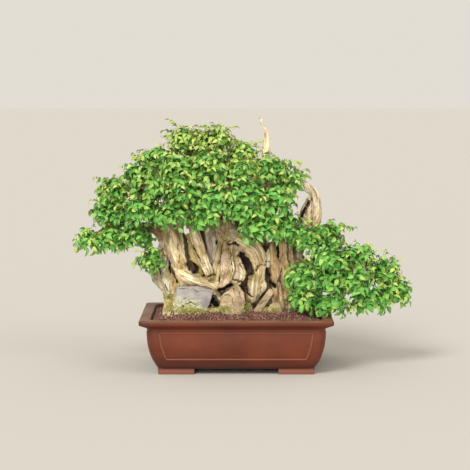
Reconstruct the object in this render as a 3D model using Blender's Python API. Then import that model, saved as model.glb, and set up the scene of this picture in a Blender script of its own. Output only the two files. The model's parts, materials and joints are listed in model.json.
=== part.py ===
"""A crepe myrtle bonsai in its pot.

An old hollow stump with dead wood stands on roots in a rectangular unglazed pot, with soil, four
stones and leafy sprays on living limbs. Run it in Blender 4.5. Metres, +Z up. The model is laid out
with the pot's middle at the origin, and the last step moves it so that the middle of its own box
stands there.
"""

import math
import random

import bmesh
import bpy
from mathutils import Matrix, Vector
from mathutils.bvhtree import BVHTree

MM = 0.001
GAP = 0.0004
VERTICAL = Vector((0, 0, 1))
# Below this length, a cross product of two directions no longer gives a steady side.
SIDE_SHORTEST = 0.2

# Pot: a rectangle with rounded corners. Its depth is everywhere this much less than its length.
DEPTH_LESS = 0.130
RIM_LENGTH = 0.500
POT_HEIGHT = 0.145
FOOT_HEIGHT = 0.015
RIM_WIDTH = 0.028
LIP_HEIGHT = 0.013
COVE_HEIGHT = 0.011
BODY_LENGTH = 0.460
BASE_LENGTH = 0.406
FLOOR_TOP = 0.027
INNER_BASE_LENGTH = 0.386
INNER_MID_LENGTH = 0.414
INNER_MID_HEIGHT = 0.100
RIM_CORNER = 0.010
RIM_EDGE = 0.002
LIP_UNDERCUT = 0.004
LIP_EDGE = 0.003
BODY_CORNER = 0.020
CORNER_STEPS = 2

FOOT_LENGTH = 0.094
FOOT_DEPTH = 0.062
FOOT_BEVEL = 0.004
FOOT_INSET = 0.0005
FOOT_SUNK = 0.004

BEAD_RADIUS = 0.0030
BEAD_PROUD = 0.0024
BEAD_SUNK = 0.0045
BEAD_TOP = 0.111
BEAD_BOTTOM = 0.042
BEAD_TOP_INSET = 0.033
BEAD_BOTTOM_INSET = 0.038

DRAIN_RADIUS = 0.011
DRAIN_X = 0.110
DRAIN_SIDES = 10
DRAIN_CUT_HEIGHT = 0.060
SCREEN_SIZE = 0.045
SCREEN_THICKNESS = 0.001
SCREEN_OPENING = 0.014
SCREEN_PITCH = 0.019
SCREEN_CUT_HEIGHT = 0.020

# Soil: level at the rim, and mounded up to the stump. The mound's rings are given as shares of
# the soil's width, with their heights.
SOIL_EDGE = 0.134
SOIL_MOUND = ((0.94, 0.138), (0.80, 0.147), (0.54, 0.158))
SOIL_MOUND_CORNER = 0.030
SOIL_DEEPEST_ROOT = 0.165

# Wood. Each strand is a tube with an oval section, through stations of
# (x, y, z, half width, half depth) in millimetres.
RIDGE_DEPTH = 0.10
# Each tube's section is turned a little further than the one before, so that their edges differ.
STRAND_TURN = 0.7
LIMB_TURN = 0.4
TWIG_TURN = 0.9
# A tube at least so many millimetres in half width gets so many sides.
SIDES_BY_WIDTH = ((20, 7), (12, 6), (0, 5))
STRANDS = {
    "left buttress": [(-206, 2, 290, 15, 14), (-205, -2, 270, 25, 22), (-194, -12, 245, 29, 26),
                      (-184, -22, 219, 25, 24), (-179, -30, 194, 18, 20), (-179, -38, 131, 20, 24)],
    "left shoulder": [(-180, -12, 352, 11, 12), (-188, -12, 328, 21, 17), (-190, -12, 300, 23, 19),
                      (-190, -14, 268, 20, 18)],
    "left trunk": [(-184, -8, 391, 26, 16), (-172, -20, 342, 34, 20), (-163, -26, 316, 28, 20),
                   (-154, -32, 290, 21, 20), (-151, -34, 267, 22, 22), (-141, -26, 193, 36, 24),
                   (-139, -22, 129, 38, 24)],
    "left shelf": [(-158, -40, 265, 14, 14), (-140, -46, 249, 19, 16), (-115, -48, 237, 22, 17),
                   (-64, -40, 218, 15, 15), (-48, -32, 187, 12, 14), (-38, -26, 130, 15, 17)],
    "slot post": [(-149, -12, 384, 10, 12), (-145, -16, 358, 8, 11), (-145, -28, 306, 9, 13),
                  (-143, -34, 280, 12, 13)],
    "grey post": [(-162, -8, 338, 5, 5), (-159, -16, 312, 11, 10), (-157, -28, 273, 12, 12)],
    "cream bar": [(-113, -36, 400, 15, 12), (-109, -48, 371, 16, 13), (-101, -58, 339, 16, 13),
                  (-79, -64, 277, 14, 12), (-73, -60, 259, 12, 11), (-69, -48, 239, 9, 9)],
    "olive bar": [(-127, -28, 356, 8, 9), (-111, -46, 298, 11, 10), (-99, -48, 272, 11, 10),
                  (-87, -44, 252, 9, 9)],
    "grey slab": [(-75, -6, 384, 20, 9), (-71, -12, 358, 19, 10), (-65, -26, 306, 13, 10),
                  (-62, -28, 276, 10, 10), (-61, -26, 250, 9, 9)],
    "cream rib": [(-38, -20, 362, 9, 10), (-40, -30, 333, 10, 11), (-52, -42, 275, 11, 12),
                  (-55, -42, 245, 13, 13), (-57, -32, 174, 12, 13), (-56, -26, 130, 14, 14)],
    "heart cone": [(-16, -40, 339, 14, 12), (-14, -50, 322, 22, 18), (-12, -58, 300, 30, 24),
                   (-9, -62, 264, 39, 27), (-16, -58, 239, 33, 24), (-26, -52, 223, 22, 18),
                   (-38, -44, 209, 12, 13)],
    "knuckle": [(-43, -4, 407, 14, 14), (-30, -22, 359, 30, 22), (-16, -30, 345, 26, 20),
                (3, -36, 339, 18, 16)],
    "arch": [(-23, -28, 356, 18, 16), (30, -48, 325, 21, 16), (51, -54, 306, 24, 16),
             (61, -56, 261, 18, 16), (53, -57, 237, 27, 17), (51, -54, 213, 26, 16),
             (48, -50, 193, 17, 13), (43, -46, 176, 9, 9)],
    "crest left": [(71, -50, 276, 10, 8), (71, -47, 302, 8, 6), (64, -44, 321, 2, 2)],
    "crest right": [(79, -48, 269, 9, 7), (82, -44, 295, 7, 6), (87, -40, 320, 1.5, 1.5)],
    "dark root": [(30, -46, 200, 10, 9), (26, -52, 168, 13, 11), (26, -52, 122, 16, 14)],
    "orange slab": [(95, -22, 331, 8, 7), (96, -30, 307, 10, 9), (99, -32, 274, 14, 12),
                    (106, -28, 233, 15, 13), (114, -20, 129, 18, 16)],
    "right trunk": [(148, 0, 383, 16, 16), (137, -8, 351, 21, 19), (132, -16, 322, 25, 20),
                    (137, -20, 252, 28, 24), (148, -14, 198, 28, 26), (157, -6, 127, 30, 28)],
    "silver ridge": [(178, 6, 336, 10, 12), (207, 12, 362, 10, 11), (218, 16, 400, 9, 10),
                     (220, 18, 434, 7, 8), (212, 18, 463, 5, 6), (193, 16, 485, 2, 3)],
    "silver face": [(169, 4, 336, 14, 12), (194, 10, 368, 17, 11), (202, 14, 405, 15, 9),
                    (201, 16, 437, 11, 7), (196, 16, 466, 6, 5), (188, 15, 485, 2, 2)],
    "silver back": [(158, 10, 350, 11, 10), (177, 20, 399, 11, 9), (190, 20, 447, 2, 2)],
    "silver spike": [(188, 18, 463, 4, 4), (180, 16, 495, 5, 4), (169, 14, 519, 3.5, 3.5),
                     (153, 12, 541, 1.2, 1.2)],
    "grey root": [(175, 4, 347, 9, 9), (172, -6, 316, 10, 10), (164, -12, 279, 10, 10),
                  (161, -14, 237, 12, 12), (172, -10, 188, 13, 13), (181, -4, 122, 15, 15)],
    "red root": [(170, 4, 294, 11, 11), (189, 6, 251, 12, 12), (199, 4, 203, 11, 11),
                 (199, 0, 171, 11, 11), (200, -2, 122, 13, 13)],
    "jin stem": [(58, 10, 325, 16, 15), (71, 14, 384, 14, 13), (79, 12, 453, 13, 11),
                 (79, 4, 565, 15, 8), (80, 0, 623, 7, 5.5), (69, -2, 639, 3.6, 3.6),
                 (57, -5, 671, 0.9, 0.9)],
    "jin fork": [(67, -2, 642, 2.6, 2.6), (68, -1, 655, 1.8, 1.8), (73, 0, 665, 0.8, 0.8)],
    "left jin": [(-202, -10, 348, 9, 9), (-224, 4, 406, 8, 8), (-237, 12, 464, 7.5, 7),
                 (-244, 14, 511, 6, 5), (-247, 13, 543, 4, 3.5), (-250, 12, 559, 1.2, 1.2)],
    "back wall left": [(-170, 18, 385, 12, 10), (-160, 28, 340, 24, 16), (-152, 34, 280, 36, 20),
                       (-150, 38, 200, 42, 24), (-150, 40, 121, 44, 26)],
    "back wall second": [(-104, 20, 425, 18, 14), (-98, 34, 370, 30, 18), (-92, 44, 300, 40, 22),
                         (-88, 50, 210, 44, 26), (-85, 52, 121, 46, 28)],
    "back wall middle": [(-34, 12, 430, 20, 16), (-28, 30, 380, 34, 22), (-20, 44, 300, 42, 24),
                         (-15, 54, 210, 46, 28), (-15, 58, 121, 48, 30)],
    "back wall fourth": [(56, 26, 345, 26, 18), (56, 40, 290, 38, 22), (58, 50, 210, 44, 26),
                         (60, 52, 121, 46, 28)],
    "back wall right": [(132, 16, 345, 22, 18), (124, 30, 290, 32, 22), (122, 40, 210, 38, 26),
                        (125, 42, 121, 42, 28)],
}

# Living limbs, through stations of (x, y, z, half width) in millimetres.
LIMBS = {
    "left crown": [(-117, -4, 369, 14), (-123, 6, 411, 12), (-120, 8, 453, 10), (-128, 4, 501, 8),
                   (-133, 0, 541, 5)],
    "right crown": [(-27, -8, 359, 26), (-33, 4, 400, 22), (-46, 8, 443, 16), (-54, 6, 491, 11),
                    (-54, 4, 533, 6)],
    "gap": [(-40, 4, 438, 10), (-17, -10, 478, 8), (10, -22, 506, 7), (41, -30, 524, 5)],
    "left": [(-180, -20, 323, 11), (-202, -16, 349, 10), (-234, -8, 372, 8), (-279, 0, 387, 6),
             (-324, 2, 382, 5)],
    "left upper": [(-202, -14, 346, 9), (-224, 2, 401, 8), (-250, 8, 443, 6), (-282, 8, 464, 5)],
    "right low": [(140, 0, 342, 15), (137, -6, 385, 13), (123, -14, 426, 10), (105, -24, 456, 7)],
    "cascade": [(158, -20, 275, 11), (197, -36, 282, 10), (245, -34, 266, 8), (295, -26, 260, 6),
                (344, -14, 242, 5)],
    "cascade upper": [(145, -8, 364, 6), (166, -20, 341, 5.5), (216, -22, 326, 5), (264, -14, 322, 4)],
    "back left": [(-104, 20, 425, 13), (-128, 52, 440, 9), (-165, 82, 455, 7), (-180, 84, 458, 5)],
    "back right": [(-34, 12, 430, 14), (-36, 48, 452, 9), (-42, 84, 470, 6)],
    "back far right": [(132, 16, 345, 12), (112, 52, 380, 8), (88, 78, 405, 6)],
}

# Leafy sprays: the limb that carries each, its middle and its half sizes out to the leaf tips,
# in millimetres.
SPRAYS = {
    "crown_peak_left": ("left crown", (-137, -15, 605), (63, 55, 45)),
    "crown_peak_right": ("right crown", (-51, -20, 603), (58, 55, 42)),
    "crown_back_top": ("left crown", (-89, 75, 600), (70, 45, 43)),
    "crown_left": ("left crown", (-202, 5, 554), (58, 50, 37)),
    "crown_right": ("right crown", (18, 0, 560), (53, 50, 35)),
    "crown_front_left": ("left crown", (-146, -75, 537), (63, 50, 44)),
    "crown_front_right": ("right crown", (-65, -85, 537), (57, 50, 47)),
    "crown_centre_right": ("gap", (10, -72, 537), (42, 40, 23)),
    "shoulder_right": ("gap", (83, -35, 527), (47, 48, 32)),
    "edge_right": ("right low", (139, -5, 497), (37, 45, 32)),
    "shoulder_left": ("left upper", (-248, -30, 519), (42, 45, 32)),
    "front_left": ("left crown", (-203, -78, 488), (47, 42, 34)),
    "front_centre": ("left crown", (-119, -112, 477), (52, 42, 39)),
    "front_mid": ("right crown", (-47, -122, 460), (46, 40, 39)),
    "front_right": ("gap", (30, -105, 471), (47, 42, 36)),
    "side_right": ("right low", (101, -84, 454), (52, 45, 42)),
    "upper_left": ("left upper", (-312, -20, 471), (53, 48, 34)),
    "mid_left": ("left", (-327, -25, 419), (48, 45, 29)),
    "low_left": ("left upper", (-248, -70, 427), (44, 40, 31)),
    "low_centre_left": ("left crown", (-172, -88, 418), (44, 40, 34)),
    "low_centre": ("right crown", (-86, -112, 415), (39, 36, 28)),
    "low_centre_right": ("gap", (2, -122, 426), (39, 34, 26)),
    "hang_right": ("right low", (67, -108, 396), (44, 38, 44)),
    "hang_far_right": ("right low", (124, -76, 386), (34, 38, 42)),
    "left_inner": ("left", (-254, -32, 361), (40, 40, 34)),
    "left_outer": ("left", (-323, -18, 349), (48, 45, 34)),
    "left_tip": ("left", (-387, -12, 349), (45, 38, 29)),
    "left_sprig": ("left", (-229, -48, 299), (24, 26, 34)),
    "back_left_low": ("left upper", (-320, 80, 397), (65, 45, 43)),
    "back_left": ("back left", (-247, 95, 477), (65, 48, 49)),
    "back_crown_left": ("back left", (-158, 120, 517), (66, 45, 49)),
    "back_crown_right": ("back right", (-39, 120, 522), (66, 45, 49)),
    "back_right": ("back far right", (70, 95, 464), (65, 45, 49)),
    "back_centre_low": ("back right", (-112, 120, 421), (66, 42, 38)),
    "back_right_low": ("back far right", (24, 115, 386), (60, 42, 38)),
    "cascade_top": ("cascade upper", (240, -18, 357), (45, 42, 37)),
    "cascade_inner": ("cascade upper", (182, -62, 351), (31, 34, 24)),
    "cascade_front_top": ("cascade", (245, -72, 296), (52, 42, 37)),
    "cascade_mid": ("cascade upper", (318, -8, 295), (50, 45, 32)),
    "cascade_front": ("cascade", (304, -60, 237), (52, 42, 34)),
    "cascade_out": ("cascade", (382, 0, 254), (48, 42, 32)),
    "cascade_tip": ("cascade", (416, -5, 201), (45, 40, 34)),
    "cascade_low_front": ("cascade", (174, -98, 242), (49, 36, 34)),
    "cascade_centre": ("cascade", (237, -72, 235), (38, 36, 30)),
    "cascade_base": ("cascade", (163, -95, 192), (36, 30, 26)),
    "cascade_drop": ("cascade", (242, -80, 176), (42, 34, 31)),
    "cascade_under": ("cascade", (358, -42, 190), (37, 34, 26)),
    "cascade_back": ("cascade upper", (267, 70, 270), (65, 45, 46)),
}

# The leafless core of a spray, as a share of its half sizes, and its lumps.
CORE_SHARE = 0.62
CORE_AROUND = 6
CORE_RINGS = 4
CORE_JITTER = 0.14
CORE_TILT = 0.4
CORE_APART = 0.0008
CORE_SHRINK = 0.93
CORE_SHRINKS_MOST = 40
NEIGHBOUR_WITHIN = 0.200

# Leaves. LEAF_WIDEST is the share of the length where the leaf is widest, and the turn, rise and
# roll say how far a leaf may stray from hanging straight down over the core.
LEAVES_PER_SPRAY = 12.9
LEAVES_MOST = 20
USUAL_HALF_SIZE = 0.042
LEAF_LENGTH = 0.036
LEAF_WIDTH = 0.024
LEAF_THICKNESS = 0.0020
LEAF_DROOP = 0.006
LEAF_WIDEST = 0.45
STALK_RADIUS = 0.0018
STALK_KEEL = 1.4
STALK_HEIGHT = 0.0035
LEAF_CLEARANCE = 0.0010
LEAF_TRIES = 6
LEAF_TURN = 1.5
LEAF_RISE = (0.35, 1.1)
LEAF_ROLL = 0.35

# Twigs, one from a limb to each spray.
TWIG_START_RADIUS = 0.0040
TWIG_TIP_RADIUS = 0.0027
TWIG_SUNK = 0.003
TWIG_SIDES = 3
TWIG_REACH = 0.006
TWIG_SHORTEST = 0.020
TWIG_STRAIGHT = 0.045
TWIG_BEND_AT = 0.55
TWIG_BOW = 0.10
LIMB_POINT_EVERY = 0.006
SEED = 7
DEEP_SHADE_BEHIND = 0.05

# Stones, as the corners of their hulls in millimetres. They are sunk a little into the soil.
STONES = {
    "stone_grey_slab": [(-155, -63, 221), (-101, -70, 223), (-154, -76, 221), (-58, -66, 211),
                        (-62, -86, 206), (-158, -66, 142), (-82, -63, 142), (-162, -97, 142),
                        (-84, -98, 142), (-162, -92, 182), (-66, -92, 190), (-116, -97, 198)],
    "stone_pale": [(-1, -82, 231), (8, -86, 226), (-4, -92, 222), (-26, -86, 213), (-43, -88, 198),
                   (-44, -66, 142), (-45, -90, 142), (-20, -107, 142), (14, -105, 142),
                   (25, -88, 142), (23, -86, 208), (-20, -100, 186), (18, -68, 142)],
    "stone_oblong": [(44, -87, 160), (59, -88, 148), (46, -76, 162), (61, -77, 150), (52, -87, 146),
                     (54, -78, 144), (85, -81, 216), (98, -82, 204), (86, -71, 217), (99, -72, 206),
                     (95, -77, 215)],
    "stone_small": [(82, -86, 160), (86, -94, 146), (116, -95, 146), (122, -86, 158), (118, -72, 146),
                    (88, -72, 146), (86, -86, 176), (97, -87, 181), (114, -84, 180), (119, -82, 172),
                    (100, -78, 180)],
}

COLOURS = {
    "clay": ((0.21, 0.075, 0.040), 0.62),
    "soil": ((0.17, 0.072, 0.055), 0.95),
    "wood": ((0.42, 0.32, 0.19), 0.80),
    "leaf_green": ((0.055, 0.20, 0.030), 0.45),
    "leaf_deep": ((0.035, 0.14, 0.028), 0.45),
    "leaf_bright": ((0.16, 0.33, 0.045), 0.45),
    "slate": ((0.33, 0.31, 0.28), 0.85),
    "ochre_stone": ((0.52, 0.38, 0.22), 0.85),
    "plastic": ((0.02, 0.02, 0.02), 0.50),
}
BRIGHT_SPRAYS = ("crown_peak_left", "crown_peak_right", "crown_right", "edge_right", "upper_left",
                 "left_tip", "left_sprig", "cascade_top", "cascade_out", "cascade_tip")


def clear_scene():
    for obj in list(bpy.data.objects):
        bpy.data.objects.remove(obj, do_unlink=True)


def material(name):
    """A Principled material from the table of colours, made once."""
    found = bpy.data.materials.get(name)
    if found:
        return found
    made = bpy.data.materials.new(name)
    made.use_nodes = True
    colour, roughness = COLOURS[name]
    shader = made.node_tree.nodes["Principled BSDF"]
    shader.inputs["Base Color"].default_value = (*colour, 1.0)
    shader.inputs["Roughness"].default_value = roughness
    shader.inputs["Metallic"].default_value = 0.0
    made.diffuse_color = (*colour, 1.0)
    return made


def place(name, bm, material_name=None):
    """Turn a bmesh into a named object in the scene."""
    mesh = bpy.data.meshes.new(name)
    bmesh.ops.recalc_face_normals(bm, faces=bm.faces)
    bm.to_mesh(mesh)
    bm.free()
    obj = bpy.data.objects.new(name, mesh)
    bpy.context.scene.collection.objects.link(obj)
    if material_name:
        mesh.materials.append(material(material_name))
    return obj


def combine(obj, others, operation):
    """Apply one Boolean of obj with all the others, which are removed afterwards."""
    group = bpy.data.collections.new("operands")
    bpy.context.scene.collection.children.link(group)
    for other in others:
        bpy.context.scene.collection.objects.unlink(other)
        group.objects.link(other)
    modifier = obj.modifiers.new("combine", "BOOLEAN")
    modifier.operation = operation
    modifier.operand_type = "COLLECTION"
    modifier.collection = group
    modifier.solver = "EXACT"
    graph = bpy.context.evaluated_depsgraph_get()
    combined = bpy.data.meshes.new_from_object(obj.evaluated_get(graph))
    obj.modifiers.clear()
    obj.data = combined
    for other in list(group.objects):
        bpy.data.objects.remove(other, do_unlink=True)
    bpy.data.collections.remove(group)
    return obj


def surface_of(pieces):
    """The faces of some pieces as one tree for overlap tests.

    It is made before the pieces are combined, because a Boolean may order its faces differently
    each time, and the leaves must come out the same in every run.
    """
    bm = bmesh.new()
    for piece in pieces:
        bm.from_mesh(piece.data)
    tree = BVHTree.FromBMesh(bm)
    bm.free()
    return tree


# Shapes that several pieces share.

def rounded_rectangle(half_x, half_y, radius, z):
    """Points round a rectangle whose corners are arcs, anticlockwise seen from above."""
    points = []
    for corner in range(4):
        start = corner * math.pi / 2
        sign_x = 1 if corner in (0, 3) else -1
        sign_y = 1 if corner in (0, 1) else -1
        for step in range(CORNER_STEPS + 1):
            angle = start + step * (math.pi / 2) / CORNER_STEPS
            points.append(Vector((sign_x * (half_x - radius) + radius * math.cos(angle),
                                  sign_y * (half_y - radius) + radius * math.sin(angle), z)))
    return points


def loft(bm, loops, caps=True):
    """Join loops of equally many points by quads, and close both ends."""
    rows = []
    for loop in loops:
        rows.append([bm.verts.new(point) for point in loop])
    for low, high in zip(rows, rows[1:]):
        count = len(low)
        for i in range(count):
            j = (i + 1) % count
            bm.faces.new((low[i], low[j], high[j], high[i]))
    if caps:
        bm.faces.new(list(reversed(rows[0])))
        bm.faces.new(rows[-1])
    return rows


def interpolate(knots, height):
    """Read a value at a height from a list of (value, height) knots that goes up."""
    for (low_value, low), (high_value, high) in zip(knots, knots[1:]):
        if height <= high:
            share = (height - low) / (high - low)
            return low_value + share * (high_value - low_value)
    return knots[-1][0]


def box(bm, low, high):
    """A box between two corners."""
    made = bmesh.ops.create_cube(bm, size=1.0)["verts"]
    size = Vector(high) - Vector(low)
    middle = (Vector(high) + Vector(low)) / 2
    for vert in made:
        vert.co = Vector((vert.co.x * size.x, vert.co.y * size.y, vert.co.z * size.z)) + middle


def tube(name, stations, sides, phase=0.0, ridge=0.0, pad=0.0):
    """A tube with an oval, slightly ridged section through stations (x, y, z, width, depth)."""
    points = [Vector(station[:3]) for station in stations]
    loops = []
    for i, station in enumerate(stations):
        before = points[max(i - 1, 0)]
        after = points[min(i + 1, len(points) - 1)]
        along = (after - before).normalized()
        side = along.cross(Vector((0, 1, 0)))
        side = side.normalized() if side.length > SIDE_SHORTEST else Vector((1, 0, 0))
        front = side.cross(along).normalized()
        middle = points[i].copy()
        if i == 0:
            middle -= along * pad
        if i == len(points) - 1:
            middle += along * pad
        loop = []
        for k in range(sides):
            angle = 2 * math.pi * k / sides + phase
            swell = 1 + ridge * math.sin(3 * k + 2 * phase)
            loop.append(middle + side * math.cos(angle) * (station[3] * swell + pad)
                        + front * math.sin(angle) * (station[4] * swell + pad))
        loops.append(loop)
    bm = bmesh.new()
    loft(bm, loops)
    bmesh.ops.triangulate(bm, faces=bm.faces)
    return place(name, bm)


# Pot.

RIM_HALF = RIM_LENGTH / 2
DEPTH_STEP = DEPTH_LESS / 2
LIP_BOTTOM = POT_HEIGHT - LIP_HEIGHT
COVE_BOTTOM = LIP_BOTTOM - COVE_HEIGHT
# Each wall is a list of (half length, height) that goes up. The outer one tucks in towards the
# feet in a full curve.
HAUNCH = (0.217, 0.039)
BELLY = (0.227, 0.074)
OUTER_WALL = [(BASE_LENGTH / 2, FOOT_HEIGHT), HAUNCH, BELLY, (BODY_LENGTH / 2, COVE_BOTTOM)]
INNER_WALL = [(INNER_BASE_LENGTH / 2, FLOOR_TOP), (INNER_MID_LENGTH / 2, INNER_MID_HEIGHT),
              (RIM_HALF - RIM_WIDTH, POT_HEIGHT)]


def pot_loop(half_length, radius, z):
    return rounded_rectangle(half_length, half_length - DEPTH_STEP, radius, z)


def pot_shell():
    loops = [pot_loop(half, BODY_CORNER, z) for half, z in OUTER_WALL]
    loops.append(pot_loop(RIM_HALF - LIP_UNDERCUT, RIM_CORNER, LIP_BOTTOM))
    loops.append(pot_loop(RIM_HALF, RIM_CORNER, LIP_BOTTOM + LIP_EDGE))
    loops.append(pot_loop(RIM_HALF, RIM_CORNER, POT_HEIGHT - RIM_EDGE))
    loops.append(pot_loop(RIM_HALF - RIM_EDGE, RIM_CORNER, POT_HEIGHT))
    loops += [pot_loop(half, RIM_CORNER, z) for half, z in reversed(INNER_WALL)]
    bm = bmesh.new()
    loft(bm, loops)
    return place("pot", bm, "clay")


def pot_feet():
    """A block under each corner, chamfered round its lower edge."""
    feet = []
    outer_x = BASE_LENGTH / 2 - FOOT_INSET
    outer_y = outer_x - DEPTH_STEP
    for sign_x in (-1, 1):
        for sign_y in (-1, 1):
            xs = sorted((sign_x * outer_x, sign_x * (outer_x - FOOT_LENGTH)))
            ys = sorted((sign_y * outer_y, sign_y * (outer_y - FOOT_DEPTH)))
            bm = bmesh.new()
            box(bm, (xs[0], ys[0], 0.0), (xs[1], ys[1], FOOT_HEIGHT + FOOT_SUNK))
            lower = [edge for edge in bm.edges if all(vert.co.z < MM for vert in edge.verts)]
            bmesh.ops.bevel(bm, geom=lower, offset=FOOT_BEVEL, offset_type="OFFSET", segments=1,
                            profile=0.5, affect="EDGES", material=-1)
            feet.append(place("foot", bm))
    return feet


def pot_bead(turned):
    """The raised frame on one wall, or on a short wall where turned is true."""
    heights = (BEAD_BOTTOM, BELLY[1], BEAD_TOP)
    insets = (BEAD_BOTTOM_INSET, (BEAD_BOTTOM_INSET + BEAD_TOP_INSET) / 2, BEAD_TOP_INSET)
    corners = []
    for sign, order in ((1, (0, 1, 2)), (-1, (2, 1, 0))):
        for k in order:
            half = interpolate(OUTER_WALL, heights[k])
            if turned:
                corners.append(Vector((half, sign * (half - DEPTH_STEP - insets[k]), heights[k])))
            else:
                corners.append(Vector((sign * (half - insets[k]), -(half - DEPTH_STEP), heights[k])))
    middle = sum(corners, Vector()) / len(corners)
    outward = Vector((1, 0, 0)) if turned else Vector((0, -1, 0))
    loops = []
    for corner in corners:
        inward = middle - corner
        inward -= outward * inward.dot(outward)
        inward.normalize()
        loops.append([corner + inward * BEAD_RADIUS, corner + outward * BEAD_PROUD,
                      corner - inward * BEAD_RADIUS, corner - outward * BEAD_SUNK])
    bm = bmesh.new()
    loft(bm, loops + [loops[0]], caps=False)
    bmesh.ops.remove_doubles(bm, verts=bm.verts, dist=0.0001)
    return place("bead", bm)


def build_pot():
    """The pot, and the surface of its pieces."""
    pot = pot_shell()
    beads = []
    for turned in (False, True):
        for opposite in (False, True):
            bead = pot_bead(turned)
            if opposite:
                bead.data.transform(Matrix.Rotation(math.pi, 4, "Z"))
            beads.append(bead)
    surface = surface_of([pot] + beads)
    combine(pot, pot_feet() + beads, "UNION")
    drains = []
    for sign in (-1, 1):
        bm = bmesh.new()
        bmesh.ops.create_cone(bm, segments=DRAIN_SIDES, radius1=DRAIN_RADIUS,
                              radius2=DRAIN_RADIUS, depth=DRAIN_CUT_HEIGHT, cap_ends=True,
                              matrix=Matrix.Translation((sign * DRAIN_X, 0, FLOOR_TOP)))
        drains.append(place("drain", bm))
    combine(pot, drains, "DIFFERENCE")
    return surface


def build_screens():
    """Square plastic mesh over each drain hole, on the pot's floor."""
    screens = []
    half = SCREEN_SIZE / 2
    for name, sign in (("drain_screen_left", -1), ("drain_screen_right", 1)):
        middle = Vector((sign * DRAIN_X, 0, FLOOR_TOP + GAP))
        bm = bmesh.new()
        box(bm, middle + Vector((-half, -half, 0)), middle + Vector((half, half, SCREEN_THICKNESS)))
        screen = place(name, bm, "plastic")
        openings = []
        reach = Vector((SCREEN_OPENING / 2, SCREEN_OPENING / 2, SCREEN_CUT_HEIGHT / 2))
        for along in (-0.5, 0.5):
            for across in (-0.5, 0.5):
                spot = middle + Vector((along * SCREEN_PITCH, across * SCREEN_PITCH, 0))
                bm = bmesh.new()
                box(bm, spot - reach, spot + reach)
                openings.append(place("opening", bm))
        combine(screen, openings, "DIFFERENCE")
        screens.append(screen)
    return screens


# Tree.

def metres(station):
    return tuple(value * MM for value in station)


def sides_for(stations):
    """A thick strand gets more sides than a thin one."""
    widest = max(station[3] for station in stations)
    return next(sides for width, sides in SIDES_BY_WIDTH if widest >= width)


def strand_tubes(pad=0.0, only_below=None):
    """The strands of the stump, or only those with a station below a height."""
    tubes = []
    for number, (name, stations) in enumerate(STRANDS.items()):
        if only_below is not None and min(s[2] for s in stations) * MM > only_below:
            continue
        tubes.append(tube(name, [metres(s) for s in stations], sides_for(stations),
                          phase=STRAND_TURN * number, ridge=RIDGE_DEPTH, pad=pad))
    return tubes


def limb_tubes():
    tubes = []
    for number, (name, stations) in enumerate(LIMBS.items()):
        round_stations = [metres((*s, s[3])) for s in stations]
        tubes.append(tube(name, round_stations, sides_for(stations), phase=LIMB_TURN * number))
    return tubes


def limb_points(name):
    """Points along a limb, a few millimetres apart."""
    stations = [Vector(metres(s[:3])) for s in LIMBS[name]]
    points = []
    for start, end in zip(stations, stations[1:]):
        steps = max(2, round((end - start).length / LIMB_POINT_EVERY))
        points += [start.lerp(end, k / steps) for k in range(steps)]
    points.append(stations[-1])
    return points


def core_radius(half_sizes, direction):
    """How far the leafless core of a spray reaches in a direction."""
    a, b, c = [size * CORE_SHARE for size in half_sizes]
    x, y, z = direction
    return 1 / math.sqrt((x / a) ** 2 + (y / b) ** 2 + (z / c) ** 2)


def twig_route(limb, middle, half_sizes):
    """Where the twig to a spray leaves its limb, bends and ends, just outside the spray's core."""
    def spare(point):
        away = point - middle
        return away.length - core_radius(half_sizes, away.normalized()) - TWIG_REACH

    points = limb_points(limb)
    usable = [point for point in points if spare(point) > TWIG_SHORTEST]
    start = min(usable, key=lambda point: (point - middle).length)
    away = (start - middle).normalized()
    end = middle + away * (core_radius(half_sizes, away) + TWIG_REACH)
    length = (end - start).length
    bend = start.lerp(end, TWIG_BEND_AT)
    if length > TWIG_STRAIGHT:
        bend += Vector((0, 0, TWIG_BOW)) * length
    return start - (bend - start).normalized() * TWIG_SUNK, bend, end


def build_tree(routes):
    """The tree, and the surface of its pieces."""
    twigs = []
    for number, (name, (start, bend, end)) in enumerate(routes.items()):
        middle_radius = (TWIG_START_RADIUS + TWIG_TIP_RADIUS) / 2
        stations = [(*start, TWIG_START_RADIUS, TWIG_START_RADIUS),
                    (*end, TWIG_TIP_RADIUS, TWIG_TIP_RADIUS)]
        if (end - start).length > TWIG_STRAIGHT:
            stations.insert(1, (*bend, middle_radius, middle_radius))
        twigs.append(tube("twig " + name, stations, TWIG_SIDES, phase=TWIG_TURN * number))
    pieces = strand_tubes() + limb_tubes() + twigs
    surface = surface_of(pieces)
    tree = pieces.pop(0)
    tree.name = "tree"
    tree.data.materials.append(material("wood"))
    combine(tree, pieces, "UNION")
    return surface


# Stones and soil.

def stone(name, points, grow=0.0, material_name=None):
    """The hull of a few corners, with each face moved out by at least grow."""
    bm = bmesh.new()
    for point in points:
        bm.verts.new(metres(point))
    hull = bmesh.ops.convex_hull(bm, input=bm.verts)
    bmesh.ops.delete(bm, geom=hull["geom_interior"] + hull["geom_unused"], context="VERTS")
    bmesh.ops.recalc_face_normals(bm, faces=bm.faces)
    if grow:
        middle = sum((vert.co for vert in bm.verts), Vector()) / len(bm.verts)
        nearest = min((face.calc_center_median() - middle).dot(face.normal) for face in bm.faces)
        scale = 1 + grow / nearest
        for vert in bm.verts:
            vert.co = middle + (vert.co - middle) * scale
    return place(name, bm, material_name)


def build_stones():
    finish = {"stone_grey_slab": "slate", "stone_pale": "ochre_stone",
              "stone_oblong": "ochre_stone", "stone_small": "ochre_stone"}
    return [stone(name, points, 0.0, finish[name]) for name, points in STONES.items()]


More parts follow.
